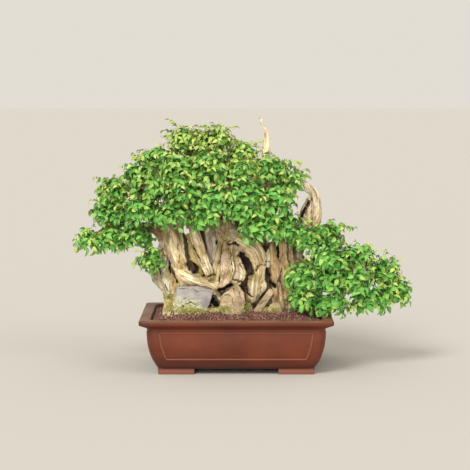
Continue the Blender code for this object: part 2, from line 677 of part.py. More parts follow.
def build_soil():
    """Soil that fills the pot, with plain holes for the roots, the stones and the screens.

    Its surface before the holes comes back, for the overlap tests.
    """
    loops = []
    for height in (FLOOR_TOP + GAP, INNER_MID_HEIGHT, SOIL_EDGE):
        half = interpolate(INNER_WALL, height) - GAP
        loops.append(pot_loop(half, RIM_CORNER - GAP, height))
    for share, height in SOIL_MOUND:
        half = interpolate(INNER_WALL, SOIL_EDGE)
        loops.append(rounded_rectangle(half * share, (half - DEPTH_STEP) * share,
                                       SOIL_MOUND_CORNER * share, height))
    bm = bmesh.new()
    loft(bm, loops)
    soil = place("soil", bm, "soil")
    surface = surface_of([soil])
    cutters = strand_tubes(pad=GAP, only_below=SOIL_DEEPEST_ROOT)
    cutters += [stone(name + " bed", points, GAP) for name, points in STONES.items()]
    for sign in (-1, 1):
        reach = SCREEN_SIZE / 2 + GAP
        low = Vector((sign * DRAIN_X - reach, -reach, FLOOR_TOP - SCREEN_CUT_HEIGHT))
        high = Vector((sign * DRAIN_X + reach, reach, FLOOR_TOP + SCREEN_THICKNESS + 2 * GAP))
        bm = bmesh.new()
        box(bm, low, high)
        cutters.append(place("screen bed", bm))
    combine(soil, cutters, "DIFFERENCE")
    return surface


# Leafy sprays.

def core_mesh(middle, half_sizes, draw):
    """The lumpy heart of a spray: rings of points between two poles, joined by triangles."""
    turn = Matrix.Rotation(draw.uniform(0, math.pi), 3, "Z")
    turn = turn @ Matrix.Rotation(draw.uniform(-CORE_TILT, CORE_TILT), 3, "X")
    bm = bmesh.new()

    def point(from_pole, around):
        flat = math.sin(from_pole)
        direction = turn @ Vector((flat * math.cos(around), flat * math.sin(around), math.cos(from_pole)))
        reach = core_radius(half_sizes, direction) * (1 + draw.uniform(-CORE_JITTER, CORE_JITTER))
        return bm.verts.new(middle + direction * reach)

    top = point(0.0, 0.0)
    rings = []
    for ring in range(1, CORE_RINGS):
        from_pole = math.pi * ring / CORE_RINGS
        rings.append([point(from_pole, 2 * math.pi * k / CORE_AROUND) for k in range(CORE_AROUND)])
    bottom = point(math.pi, 0.0)
    for i in range(CORE_AROUND):
        j = (i + 1) % CORE_AROUND
        bm.faces.new((top, rings[0][i], rings[0][j]))
        for high, low in zip(rings, rings[1:]):
            bm.faces.new((high[i], low[i], low[j]))
            bm.faces.new((high[i], low[j], high[j]))
        bm.faces.new((bottom, rings[-1][j], rings[-1][i]))
    bm.normal_update()
    return bm


def keep_from_neighbours(bm, name, middles):
    """Pull the core's points back behind the planes half way to the neighbouring sprays."""
    middle, half_sizes = middles[name]
    for other, (other_middle, other_sizes) in middles.items():
        away = other_middle - middle
        distance = away.length
        if other == name or distance > NEIGHBOUR_WITHIN:
            continue
        away.normalize()
        own = core_radius(half_sizes, away) * (1 + CORE_JITTER)
        theirs = core_radius(other_sizes, -away) * (1 + CORE_JITTER)
        limit = distance * own / (own + theirs) - CORE_APART
        for vert in bm.verts:
            out = vert.co - middle
            along = out.dot(away)
            if along > limit:
                vert.co = middle + out * (limit / along)


def keep_from_solids(bm, middle, obstacles, seat=None):
    """Draw in the core's faces until none of them cuts a solid. The seat keeps its place."""
    for _ in range(CORE_SHRINKS_MOST):
        surface = BVHTree.FromBMesh(bm)
        bm.faces.ensure_lookup_table()
        touched = set()
        for obstacle in obstacles:
            touched.update(pair[0] for pair in surface.overlap(obstacle))
        if not touched:
            return
        verts = {vert for index in touched for vert in bm.faces[index].verts}
        for vert in verts:
            if vert != seat:
                vert.co = middle + (vert.co - middle) * CORE_SHRINK


def leaf_rings(root, along, up, grow):
    """The three corners of a leaf's stalk, the three at its widest, and its tip."""
    side = up.cross(along).normalized()
    up = along.cross(side).normalized()
    stalk = STALK_RADIUS + grow
    half = LEAF_WIDTH / 2 + grow
    rib = LEAF_THICKNESS + grow
    first = [root + side * stalk, root - side * stalk, root - up * stalk * STALK_KEEL]
    droop = LEAF_DROOP * LEAF_WIDEST ** 2
    widest = root + along * LEAF_LENGTH * LEAF_WIDEST - up * droop
    second = [widest + side * half + up * grow, widest - side * half + up * grow, widest - up * rib]
    tip = root + along * (LEAF_LENGTH + grow) - up * LEAF_DROOP
    return first, second, tip


def leaf_surface(*leaves):
    """Leaves by themselves, each given by its rings, as one tree for the overlap tests."""
    points = []
    faces = []
    for first, second, tip in leaves:
        base = len(points)
        points += first + second + [tip]
        faces.append((base, base + 2, base + 1))
        for i in range(3):
            a = base + i
            b = base + (i + 1) % 3
            faces += [(a, b, 3 + b), (a, 3 + b, 3 + a), (3 + a, 3 + b, base + 6)]
    return BVHTree.FromPolygons(points, faces)


def foot_surface(face, stalk_ring):
    """The low hill under a leaf's stalk, a little larger than life, for the overlap tests."""
    corners = [vert.co + face.normal * LEAF_CLEARANCE for vert in face.verts]
    sides = []
    for i in range(3):
        j = (i + 1) % 3
        for k in range(3):
            sides += [(i, j, 3 + k), (3 + i, 3 + j, k)]
    return BVHTree.FromPolygons(corners + stalk_ring, sides)


def grow_leaf(bm, face, rings):
    """Draw one face of the core out into a stalk, a blade and a tip."""
    first, second, tip = rings
    lower = list(face.verts)
    turns = [sum((lower[i].co - first[(i + k) % 3]).length for i in range(3)) for k in range(3)]
    best = turns.index(min(turns))
    bm.faces.remove(face)
    for ring in (first, second):
        upper = [bm.verts.new(ring[(i + best) % 3]) for i in range(3)]
        for i in range(3):
            j = (i + 1) % 3
            bm.faces.new((lower[i], lower[j], upper[j]))
            bm.faces.new((lower[i], upper[j], upper[i]))
        lower = upper
    point = bm.verts.new(tip)
    for i in range(3):
        bm.faces.new((lower[i], lower[(i + 1) % 3], point))


def leaf_stance(normal, draw):
    """Which way a leaf points, and which side of it faces up: it hangs out over the core."""
    fall = -VERTICAL + normal * normal.z
    heading = fall.normalized() if fall.length > SIDE_SHORTEST else Vector((1, 0, 0))
    turn = draw.uniform(-LEAF_TURN, LEAF_TURN)
    tangent = heading * math.cos(turn) + normal.cross(heading) * math.sin(turn)
    along = (tangent + normal * draw.uniform(*LEAF_RISE)).normalized()
    up = normal + normal.cross(tangent) * draw.uniform(-LEAF_ROLL, LEAF_ROLL)
    return along, up


def build_core(name, middles, route, obstacles):
    """The lumpy heart of a spray, with a point that is seated on its twig."""
    middle, half_sizes = middles[name]
    draw = random.Random(SEED + sum(ord(letter) for letter in name))
    bm = core_mesh(middle, half_sizes, draw)
    keep_from_neighbours(bm, name, middles)
    keep_from_solids(bm, middle, obstacles)
    start, bend, end = route
    toward = (end - middle).normalized()
    seat = max(bm.verts, key=lambda vert: (vert.co - middle).normalized().dot(toward))
    seat.co = end + (end - bend).normalized() * GAP
    keep_from_solids(bm, middle, obstacles, seat)
    bm.normal_update()
    return bm


def grow_leaves(name, bm, half_sizes, obstacles):
    """Stand leaves all round a core, wherever they clear the wood and the other sprays."""
    draw = random.Random(SEED * 3 + sum(ord(letter) for letter in name))
    wanted = LEAVES_PER_SPRAY * sum(half_sizes) / 3 / USUAL_HALF_SIZE
    wanted = min(LEAVES_MOST, round(wanted))
    own_core = BVHTree.FromBMesh(bm)
    faces = list(bm.faces)
    draw.shuffle(faces)
    blades = []
    count = 0
    for face in faces:
        if count >= wanted:
            break
        normal = face.normal.copy()
        for _ in range(LEAF_TRIES):
            along, up = leaf_stance(normal, draw)
            root = face.calc_center_median() + normal * STALK_HEIGHT
            rings = leaf_rings(root, along, up, 0.0)
            wider = leaf_rings(root, along, up, LEAF_CLEARANCE)
            surface = leaf_surface(rings, wider)
            foot = foot_surface(face, wider[0])
            if any(surface.overlap(other) for other in obstacles + blades + [own_core]):
                continue
            if any(foot.overlap(other) for other in obstacles):
                continue
            grow_leaf(bm, face, rings)
            blades += [surface, foot]
            count += 1
            break
    return blades


def build_sprays(routes, middles, solids):
    """All the sprays: first every core, then the leaves, so that no leaf meets a later core."""
    cores = {}
    surfaces = {}
    for name in SPRAYS:
        cores[name] = build_core(name, middles, routes[name], solids + list(surfaces.values()))
        surfaces[name] = BVHTree.FromBMesh(cores[name])
    grown = []
    for name, bm in cores.items():
        others = [surface for key, surface in surfaces.items() if key != name]
        grown += grow_leaves(name, bm, middles[name][1], solids + others + grown)
        shade = "leaf_green"
        if name in BRIGHT_SPRAYS:
            shade = "leaf_bright"
        elif middles[name][0].y > DEEP_SHADE_BEHIND:
            shade = "leaf_deep"
        place("spray_" + name, bm, shade)


def stand_on_box_middle():
    """Move everything so that the middle of the model's own box stands at the origin."""
    bpy.context.view_layer.update()
    shown = [obj for obj in bpy.data.objects if obj.type == "MESH"]
    corners = [obj.matrix_world @ vert.co for obj in shown for vert in obj.data.vertices]
    middle_x = (min(c.x for c in corners) + max(c.x for c in corners)) / 2
    middle_y = (min(c.y for c in corners) + max(c.y for c in corners)) / 2
    shift = Vector((-middle_x, -middle_y, -min(c.z for c in corners)))
    for obj in shown:
        obj.location = shift
        obj.data.shade_flat()


def main():
    clear_scene()
    middles = {}
    routes = {}
    for name, (limb, middle, half_sizes) in SPRAYS.items():
        middles[name] = (Vector(metres(middle)), metres(half_sizes))
        routes[name] = twig_route(limb, *middles[name])
    build_screens()
    solids = [build_pot(), build_tree(routes), surface_of(build_stones()), build_soil()]
    build_sprays(routes, middles, solids)
    stand_on_box_middle()


main()
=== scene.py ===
# %% [markdown]
# # A crepe myrtle bonsai in its pot
#
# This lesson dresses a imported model: an old hollow stump with bleached dead wood, living limbs
# with leafy sprays, soil, four stones and a rectangular clay pot. Each step says what the thing
# is on the real object, how it could be made, and why this way was chosen.
#
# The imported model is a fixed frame. Every piece made here stands where the frame's node stands
# and takes its place in the picture, while the frame's solids keep their work in the physics.

# %% Load the frame
import itertools
import json
import math
import random

import bmesh
import bpy
import numpy as np
from mathutils import Matrix, Vector, noise
from mathutils.bvhtree import BVHTree
from mathutils.kdtree import KDTree


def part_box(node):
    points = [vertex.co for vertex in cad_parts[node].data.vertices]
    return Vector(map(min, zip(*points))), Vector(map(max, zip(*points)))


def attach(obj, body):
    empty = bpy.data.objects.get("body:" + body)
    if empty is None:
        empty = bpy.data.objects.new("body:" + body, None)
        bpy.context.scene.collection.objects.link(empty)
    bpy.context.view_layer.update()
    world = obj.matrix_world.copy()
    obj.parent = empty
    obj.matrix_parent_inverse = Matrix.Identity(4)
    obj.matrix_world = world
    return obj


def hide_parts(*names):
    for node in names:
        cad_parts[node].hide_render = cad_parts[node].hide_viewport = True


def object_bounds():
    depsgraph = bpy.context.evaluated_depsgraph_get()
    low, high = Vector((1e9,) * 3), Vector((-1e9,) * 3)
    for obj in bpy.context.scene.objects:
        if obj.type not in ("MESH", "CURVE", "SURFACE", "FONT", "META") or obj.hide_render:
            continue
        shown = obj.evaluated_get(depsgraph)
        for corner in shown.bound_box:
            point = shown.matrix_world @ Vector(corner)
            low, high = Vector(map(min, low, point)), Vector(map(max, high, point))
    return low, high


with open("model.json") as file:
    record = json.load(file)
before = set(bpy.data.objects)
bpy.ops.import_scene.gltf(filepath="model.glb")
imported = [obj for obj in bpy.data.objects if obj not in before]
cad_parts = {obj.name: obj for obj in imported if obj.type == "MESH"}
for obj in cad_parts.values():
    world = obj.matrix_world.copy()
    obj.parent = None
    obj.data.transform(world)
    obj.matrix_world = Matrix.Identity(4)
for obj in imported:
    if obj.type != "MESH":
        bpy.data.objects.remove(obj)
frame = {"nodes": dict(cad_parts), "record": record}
cad_low, cad_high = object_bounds()
MM = 0.001
UP = Vector((0, 0, 1))
print("frame:", len(frame["nodes"]), "nodes, from", cad_low, "to", cad_high)

# %% [markdown]
# ## Where the pot stands
#
# The stump, the limbs and the camera are all laid out from the middle of the pot, so that point
# is read from the frame first. The rim's half length and the pot's height come with it.

# %% Read the pot's place
pot_low, pot_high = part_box("pot")
POT_MIDDLE = Vector(((pot_low.x + pot_high.x) / 2, (pot_low.y + pot_high.y) / 2, 0.0))
RIM_HALF_X = (pot_high.x - pot_low.x) / 2
RIM_HALF_Y = (pot_high.y - pot_low.y) / 2
POT_TOP = pot_high.z
print("pot middle", POT_MIDDLE, "rim half sizes", RIM_HALF_X, RIM_HALF_Y)

# %% [markdown]
# ## The camera
#
# The pot is a box of known proportions, so its edges in the photograph give the camera: how far
# away it stands, how high, how much it looks down, and its focal length in pixels. The picture
# is 470 pixels square, so the focal length in pixels becomes a lens length by a simple rule.

# %% Set the camera
PHOTO_SIDE = 470
FOCAL_PIXELS = 1583.0
CAMERA_BACK = 4.185
CAMERA_HEIGHT = 0.734
CAMERA_LEFT = 0.0033
LOOKS_DOWN = math.radians(5.24)


def new_object(name, data):
    """An object in the scene that shows a mesh, a curve, a light or a camera."""
    made = bpy.data.objects.new(name, data)
    bpy.context.scene.collection.objects.link(made)
    return made


camera_data = bpy.data.cameras.new("camera")
camera_data.sensor_width = 36.0
camera_data.lens = FOCAL_PIXELS / PHOTO_SIDE * camera_data.sensor_width
camera = new_object("camera", camera_data)
camera.location = POT_MIDDLE + Vector((-CAMERA_LEFT, -CAMERA_BACK, CAMERA_HEIGHT))
camera.rotation_euler = (math.pi / 2 - LOOKS_DOWN, 0.0, 0.0)
bpy.context.scene.camera = camera
print("lens", round(camera_data.lens, 1), "mm")

# %% [markdown]
# ## Marks read off the photo
#
# Cracks, moss and small windows in the leaves are placed by marks. A mark is where the camera sees
# the thing on an upright plane through the stump's front, across and up from the middle of the
# pot's foot, in millimetres. Two helpers go from points to marks, and from a mark to a ray.

# %% Go between points and marks
MARK_PLANE = POT_MIDDLE.y - 0.05
BEFORE_MARK = 0.2


def seen_at(points):
    """Where points appear to the camera on the plane of the marks, across and up, in metres."""
    eye = np.array(camera.location)
    away = np.asarray(points, float).reshape(-1, 3) - eye
    spots = eye + away * ((MARK_PLANE - eye[1]) / away[:, 1])[:, None] - np.array(POT_MIDDLE)
    return spots[:, [0, 2]]


def ray_to_mark(across, up):
    """A start in front of a mark, and the camera's way through it."""
    mark = Vector((POT_MIDDLE.x + across * MM, MARK_PLANE, up * MM))
    way = (mark - camera.location).normalized()
    return mark - way * BEFORE_MARK, way


# %% [markdown]
# ## Colours and shader nodes
#
# Colours are written as the eye reads them, as hexadecimal codes, and turned into the linear
# values that shaders work in. A few short helpers keep the materials readable: each one adds a
# node, fills its inputs with numbers or with links, and hands back its output. A finish is then
# built up as on a real surface: a ground of two tones, and thin layers of other colours over it.

# %% Helpers for finishes
def linear(code):
    """The linear red, green, blue and alpha of a colour code such as 7d4a35."""
    parts = [int(code[i:i + 2], 16) / 255 for i in (0, 2, 4)]
    return (*[p / 12.92 if p <= 0.04045 else ((p + 0.055) / 1.055) ** 2.4 for p in parts], 1.0)


def new_finish(name, roughness, specular=0.5):
    """A Principled material, and its shader node."""
    finish = bpy.data.materials.new(name)
    finish.use_nodes = True
    shader = finish.node_tree.nodes["Principled BSDF"]
    shader.inputs["Roughness"].default_value = roughness
    shader.inputs["Specular IOR Level"].default_value = specular
    return finish, shader


def add(finish, kind, inputs=None, **settings):
    """A node of a kind, with its settings, and a number or a link for each input named."""
    made = finish.node_tree.nodes.new(kind)
    for key, value in settings.items():
        setattr(made, key, value)
    for key, value in (inputs or {}).items():
        if isinstance(value, bpy.types.NodeSocket):
            finish.node_tree.links.new(value, made.inputs[key])
        else:
            made.inputs[key].default_value = value
    return made


def place_on_piece(finish):
    """The coordinates of the piece itself, in metres."""
    return add(finish, "ShaderNodeTexCoord").outputs["Object"]


def stored(finish, name, output="Fac"):
    """A mark stored on the piece's points, as a number or as another output."""
    return add(finish, "ShaderNodeAttribute", attribute_name=name).outputs[output]


def parts_of(finish, vector):
    """The three parts of a vector."""
    return add(finish, "ShaderNodeSeparateXYZ", {0: vector}).outputs


def stretched(finish, vector, x, y, z):
    return add(finish, "ShaderNodeMapping", {"Vector": vector, "Scale": (x, y, z)}).outputs[0]


def mottle(finish, vector, scale, detail=3.0, roughness=0.55, distortion=0.0):
    """Soft random patches: one of them is about 1 / scale metres across."""
    made = add(finish, "ShaderNodeTexNoise", {"Vector": vector, "Scale": scale, "Detail": detail,
                                              "Roughness": roughness, "Distortion": distortion})
    return made.outputs[0]


def between(finish, value, low, high, out_low=0.0, out_high=1.0):
    """Stretch the part of a value between low and high to a new range."""
    made = add(finish, "ShaderNodeMapRange", {"Value": value, "From Min": low, "From Max": high,
                                              "To Min": out_low, "To Max": out_high})
    return made.outputs[0]


def mixed(finish, share, first, second, mode="MIX"):
    """Two colours mixed by a share."""
    made = add(finish, "ShaderNodeMix", data_type="RGBA", blend_type=mode)
    for index, value in ((0, share), (6, first), (7, second)):
        if isinstance(value, bpy.types.NodeSocket):
            finish.node_tree.links.new(value, made.inputs[index])
        else:
            made.inputs[index].default_value = value
    return made.outputs[2]


def two_tones(finish, value, low, high, first, second):
    """From one colour code to another as a value goes from low to high."""
    return mixed(finish, between(finish, value, low, high), linear(first), linear(second))


def layered(finish, colour, *layers):
    """A colour with thin layers over it, each given as its share and its colour code."""
    for share, code in layers:
        colour = mixed(finish, share, colour, linear(code))
    return colour


def worked_out(finish, operation, first, second=0.0):
    """A sum: its operation is one of those of the Math node."""
    return add(finish, "ShaderNodeMath", {0: first, 1: second}, operation=operation).outputs[0]


def times(finish, first, second):
    return worked_out(finish, "MULTIPLY", first, second)


def relief(finish, height, distance, normal=None):
    """A bump of a height in metres, on top of another one."""
    inputs = {"Height": height, "Distance": distance, "Strength": 1.0}
    if normal is not None:
        inputs["Normal"] = normal
    return add(finish, "ShaderNodeBump", inputs).outputs[0]


def wire(finish, shader, **sockets):
    """Links to the shader's inputs, whose names are written with _ for a space."""
    for key, socket in sockets.items():
        finish.node_tree.links.new(socket, shader.inputs[key.replace("_", " ")])


# %% [markdown]
# ## Handing a piece to the frame
#
# A finished piece has its place in its mesh, its object at the origin, a material, and the frame's nodes
# that it stands for, which it hides. One helper does that for all of them.

# %% Helpers for pieces
def link_piece(name, mesh, finish, replaces=(), smooth=True):
    """Put a mesh into the scene as a piece that rides on the one body."""
    piece = new_object(name, mesh)
    mesh.materials.append(finish)
    if smooth:
        mesh.shade_smooth()
    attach(piece, "root")
    if replaces:
        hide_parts(*replaces)


def finish_node(name, finish):
    """Give a frame's node that keeps its shape a finish."""
    materials = frame["nodes"][name].data.materials
    materials.clear()
    materials.append(finish)


def mesh_from(bm, name, turn_out=True):
    """A mesh from a bmesh, which is freed. Its faces are turned out, unless they all are already."""
    if turn_out:
        bmesh.ops.recalc_face_normals(bm, faces=bm.faces)
    mesh = bpy.data.meshes.new(name)
    bm.to_mesh(mesh)
    bm.free()
    return mesh


def shown_mesh(holder):
    """The mesh that a helper object shows, after its modifiers or its bevel. The helper goes."""
    graph = bpy.context.evaluated_depsgraph_get()
    mesh = bpy.data.meshes.new_from_object(holder.evaluated_get(graph))
    bpy.data.objects.remove(holder, do_unlink=True)
    return mesh


def through_modifier(mesh, kind, **settings):
    """The mesh after a modifier with some settings."""
    holder = new_object("holder", mesh)
    modifier = holder.modifiers.new(kind, kind)
    for key, value in settings.items():
        setattr(modifier, key, value)
    return shown_mesh(holder)


# %% [markdown]
# ## Points and marks of a mesh
#
# Tens of thousands of points are read and written quickly as one array. A mark, such as how deep
# in a hollow a point lies, is stored beside the points, where the shader reads it.

# %% Helpers for meshes
def read_points(mesh):
    points = np.zeros(len(mesh.vertices) * 3)
    mesh.vertices.foreach_get("co", points)
    return points.reshape(-1, 3)


def read_normals(mesh):
    normals = np.zeros(len(mesh.vertices) * 3)
    mesh.vertex_normals.foreach_get("vector", normals)
    return normals.reshape(-1, 3)


def write_points(mesh, points):
    mesh.vertices.foreach_set("co", points.ravel())
    mesh.update()


def store_numbers(mesh, name, values):
    mesh.attributes.new(name, "FLOAT", "POINT").data.foreach_set("value", values)


def store_vectors(mesh, name, values):
    mesh.attributes.new(name, "FLOAT_VECTOR", "POINT").data.foreach_set("vector", values.ravel())


def tree_over(meshes):
    """One search tree over several meshes, for rays and for the nearest place on a skin."""
    bm = bmesh.new()
    for mesh in meshes:
        bm.from_mesh(mesh)
    tree = BVHTree.FromBMesh(bm)
    bm.free()
    return tree


def limited(value, low=0.0, high=1.0):
    return min(high, max(low, value))


GOLDEN_TURN = 2.39996


def spread_ways(count, first_height, span, turn=0.0):
    """Directions spread evenly round +Z, at heights over a span from the first one."""
    ways = []
    for k in range(count):
        height = first_height + span * (k + 0.5) / count
        angle = turn + k * GOLDEN_TURN
        flat = math.sqrt(max(0.0, 1 - height * height))
        ways.append(Vector((flat * math.cos(angle), flat * math.sin(angle), height)))
    return ways


# %% [markdown]
# ## Many copies of one small shape
#
# Leaves, grit and moss are small shapes repeated thousands of times. Each shape is modelled once
# as a bmesh. Copying it with an operator is slow at that number, so the copies' points are worked
# out together, all places at once, and each copy carries its own marks, such as its age.

# %% Lay out copies
def template_arrays(bm):
    """Points and triangles of a modelled shape, and its blade layer where it has one."""
    bmesh.ops.triangulate(bm, faces=bm.faces)
    bm.verts.index_update()
    points = np.array([vert.co for vert in bm.verts])
    faces = np.array([[vert.index for vert in face.verts] for face in bm.faces])
    layer = bm.verts.layers.float_vector.get("blade")
    blade = np.array([vert[layer] for vert in bm.verts]) if layer else np.zeros_like(points)
    bm.free()
    return points, faces, blade


def copies_mesh(name, templates, places):
    """One mesh of many copies. A place is (template number, matrix, {mark: value})."""
    points, faces, blades = [], [], []
    marks = {key: [] for key in places[0][2]}
    start = 0
    for number, (shape, triangles, blade) in enumerate(templates):
        chosen = [place for place in places if place[0] == number]
        if not chosen:
            continue
        matrices = np.array([place[1] for place in chosen])
        moved = np.einsum("cij,pj->cpi", matrices[:, :3, :3], shape) + matrices[:, None, :3, 3]
        offsets = start + np.arange(len(chosen)) * len(shape)
        points.append(moved.reshape(-1, 3))
        faces.append((triangles[None] + offsets[:, None, None]).reshape(-1, 3))
        blades.append(np.tile(blade, (len(chosen), 1)))
        for key, values in marks.items():
            values.append(np.repeat([place[2][key] for place in chosen], len(shape)))
        start += len(chosen) * len(shape)
    mesh = bpy.data.meshes.new(name)
    mesh.from_pydata(np.concatenate(points), [], np.concatenate(faces))
    store_vectors(mesh, "blade", np.concatenate(blades))
    for key, values in marks.items():
        store_numbers(mesh, key, np.concatenate(values))
    return mesh


# %% [markdown]
# ## The pot
#
# The pot is unglazed stoneware, pressed in a mould: a rectangle with rounded corners, walls that
# swell in a full curve, a cove under an out-turned lip, a raised bead that frames each wall, and a
# foot under each corner. It is grown from one face: the underside's outline is extruded up the
# outer wall, over the lip and down the inner wall to the floor, so that the shell closes by itself.
# Half lengths and heights follow the frame's pot.

# %% Shape the pot
FOOT_HEIGHT = 0.015
BODY_CORNER = 0.020
RIM_CORNER = 0.010
CORNER_STEPS = 7
# Insets from the rim and heights, up the outer wall.
OUTER_WALL = [(0.0490, 0.0150), (0.0455, 0.0165), (0.0400, 0.0260), (0.0330, 0.0390), (0.0273, 0.0560),
              (0.0232, 0.0740), (0.0210, 0.0920), (0.0202, 0.1080), (0.0200, 0.1190)]
COVE = [(0.0196, 0.1215), (0.0165, 0.1245), (0.0110, 0.1275), (0.0065, 0.1300), (0.0046, 0.1316)]
LIP = [(0.0030, 0.1318), (0.0010, 0.1326), (0.0000, 0.1345), (0.0000, 0.1420), (0.0006, 0.1440),
       (0.0022, 0.1450)]
INNER_WALL = [(0.0262, 0.1450), (0.0276, 0.1444), (0.0284, 0.1425), (0.0430, 0.1000), (0.0540, 0.0420),
              (0.0600, 0.0300), (0.0700, 0.0270)]


def corner_for(inset):
    """The corner radius at an inset: tight at the rim, round on the body."""
    share = limited(inset / (RIM_CORNER * 2))
    return RIM_CORNER + (BODY_CORNER - RIM_CORNER) * share


def outline_point(corner, step, inset, height):
    """A point on the pot's outline: which corner, which step round it, how far in, how high."""
    radius = corner_for(inset)
    half_x = RIM_HALF_X - inset - radius
    half_y = RIM_HALF_Y - inset - radius
    sign_x = 1 if corner in (0, 3) else -1
    sign_y = 1 if corner in (0, 1) else -1
    angle = (corner + step / CORNER_STEPS) * math.pi / 2
    return POT_MIDDLE + Vector((sign_x * half_x + radius * math.cos(angle),
                                sign_y * half_y + radius * math.sin(angle), height))


def close_ends(bm, sides):
    """Fill the open ends of a skin that was grown from one face."""
    open_edges = [edge for edge in bm.edges if edge.is_boundary]
    bmesh.ops.holes_fill(bm, edges=open_edges, sides=sides)


def pot_shell():
    """The pot without its feet, drains and beads, grown from its underside."""
    bm = bmesh.new()
    stops = [(corner, step) for corner in range(4) for step in range(CORNER_STEPS + 1)]
    profile = OUTER_WALL + COVE + LIP + INNER_WALL
    face = bm.faces.new([bm.verts.new(outline_point(*stop, *profile[0])) for stop in stops])
    for inset, height in profile[1:]:
        face = bmesh.ops.extrude_discrete_faces(bm, faces=[face])["faces"][0]
        for vert, stop in zip(face.verts, stops):
            vert.co = outline_point(*stop, inset, height)
    close_ends(bm, len(stops))
    return bm


pot_bm = pot_shell()
print("pot shell:", len(pot_bm.faces), "faces, open edges:",
      sum(edge.is_boundary for edge in pot_bm.edges))

# %% [markdown]
# ## Feet, drains and beads
#
# The feet are bevelled blocks and the drains are plain holes, so Booleans join and cut them. The
# bead is a half-round strip that follows the wall's swell. A curve with a bevel does that: its
# points read the wall's profile at their own height, and most of its round section lies inside
# the wall.

# %% Add the feet, cut the drains and lay the beads
FOOT_LENGTH = 0.094
FOOT_DEPTH = 0.062
FOOT_INSET = 0.0475
FOOT_SUNK = 0.004
FOOT_EDGE = 0.0032
DRAIN_X = 0.110
DRAIN_RADIUS = 0.011
DRAIN_CUT = 0.06
DRAIN_CUT_MIDDLE = 0.02
BEAD_RADIUS = 0.0030
BEAD_SUNK = 0.0004
BEAD_LOW = 0.042
BEAD_HIGH = 0.111
BEAD_END_LOW = 0.038
BEAD_END_HIGH = 0.033
BEAD_STEPS = 9


def wall_inset(height):
    """How far the outer wall stands in from the rim at a height."""
    for (low_inset, low), (high_inset, high) in zip(OUTER_WALL, OUTER_WALL[1:]):
        if height <= high:
            return low_inset + (high_inset - low_inset) * (height - low) / (high - low)
    return OUTER_WALL[-1][0]


def foot_mesh(sign_x, sign_y):
    bm = bmesh.new()
    bmesh.ops.create_cube(bm, size=1.0)
    bmesh.ops.scale(bm, vec=(FOOT_LENGTH, FOOT_DEPTH, FOOT_HEIGHT + FOOT_SUNK), verts=bm.verts)
    low = min(vert.co.z for vert in bm.verts)
    bottom = [edge for edge in bm.edges if all(vert.co.z < low + MM for vert in edge.verts)]
    upright = [edge for edge in bm.edges if abs(edge.verts[0].co.z - edge.verts[1].co.z) > MM]
    bmesh.ops.bevel(bm, geom=bottom + upright, offset=FOOT_EDGE, offset_type="OFFSET",
                    segments=3, profile=0.5, affect="EDGES", material=-1)
    place = POT_MIDDLE + Vector((sign_x * (RIM_HALF_X - FOOT_INSET - FOOT_LENGTH / 2),
                                 sign_y * (RIM_HALF_Y - FOOT_INSET - FOOT_DEPTH / 2), -low))
    bmesh.ops.translate(bm, vec=place, verts=bm.verts)
    return mesh_from(bm, "foot")


def drain_mesh(sign):
    bm = bmesh.new()
    place = Matrix.Translation(POT_MIDDLE + Vector((sign * DRAIN_X, 0, DRAIN_CUT_MIDDLE)))
    bmesh.ops.create_cone(bm, segments=28, radius1=DRAIN_RADIUS, radius2=DRAIN_RADIUS,
                          depth=DRAIN_CUT, cap_ends=True, matrix=place)
    return mesh_from(bm, "drain")


def boolean(mesh, others, operation):
    """Join or cut a mesh with closed others by one exact Boolean."""
    group = bpy.data.collections.new("operands")
    helpers = [bpy.data.objects.new("operand", other) for other in others]
    for helper in helpers:
        group.objects.link(helper)
    result = through_modifier(mesh, "BOOLEAN", operation=operation, solver="EXACT",
                              operand_type="COLLECTION", collection=group)
    for helper in helpers:
        bpy.data.objects.remove(helper, do_unlink=True)
    bpy.data.collections.remove(group)
    return result


def bead_points(turned, opposite):
    """Points round the bead of one wall, read from the wall's profile."""
    rise = [BEAD_LOW + (BEAD_HIGH - BEAD_LOW) * k / BEAD_STEPS for k in range(BEAD_STEPS + 1)]
    points = []
    for side in (1, -1):
        for height in rise if side == 1 else reversed(rise):
            share = (height - BEAD_LOW) / (BEAD_HIGH - BEAD_LOW)
            end = BEAD_END_LOW + (BEAD_END_HIGH - BEAD_END_LOW) * share
            out_x = RIM_HALF_X - wall_inset(height)
            out_y = RIM_HALF_Y - wall_inset(height)
            if turned:
                points.append(Vector((out_x - BEAD_SUNK, side * (out_y - end), height)))
            else:
                points.append(Vector((side * (out_x - end), -out_y + BEAD_SUNK, height)))
    turn = Matrix.Rotation(math.pi if opposite else 0.0, 3, "Z")
    return [POT_MIDDLE + turn @ point for point in points]


def bead_mesh(points):
    curve = bpy.data.curves.new("bead", "CURVE")
    curve.dimensions = "3D"
    curve.bevel_depth = BEAD_RADIUS
    curve.bevel_resolution = 3
    line = curve.splines.new("POLY")
    line.points.add(len(points) - 1)
    for place, point in zip(line.points, points):
        place.co = (*point, 1.0)
    line.use_cyclic_u = True
    return shown_mesh(new_object("bead", curve))


pot_mesh = mesh_from(pot_bm, "pot_clay")
pot_mesh = boolean(pot_mesh, [foot_mesh(x, y) for x in (-1, 1) for y in (-1, 1)], "UNION")
pot_mesh = boolean(pot_mesh, [drain_mesh(sign) for sign in (-1, 1)], "DIFFERENCE")
pot_bm = bmesh.new()
pot_bm.from_mesh(pot_mesh)
wall_points = len(pot_bm.verts)
for turned in (False, True):
    for opposite in (False, True):
        pot_bm.from_mesh(bead_mesh(bead_points(turned, opposite)))
pot_mesh = mesh_from(pot_bm, "pot_clay", turn_out=False)
on_bead = np.ones(len(pot_mesh.vertices))
on_bead[:wall_points] = 0.0
store_numbers(pot_mesh, "bead", on_bead)
print("pot:", len(pot_mesh.polygons), "faces")
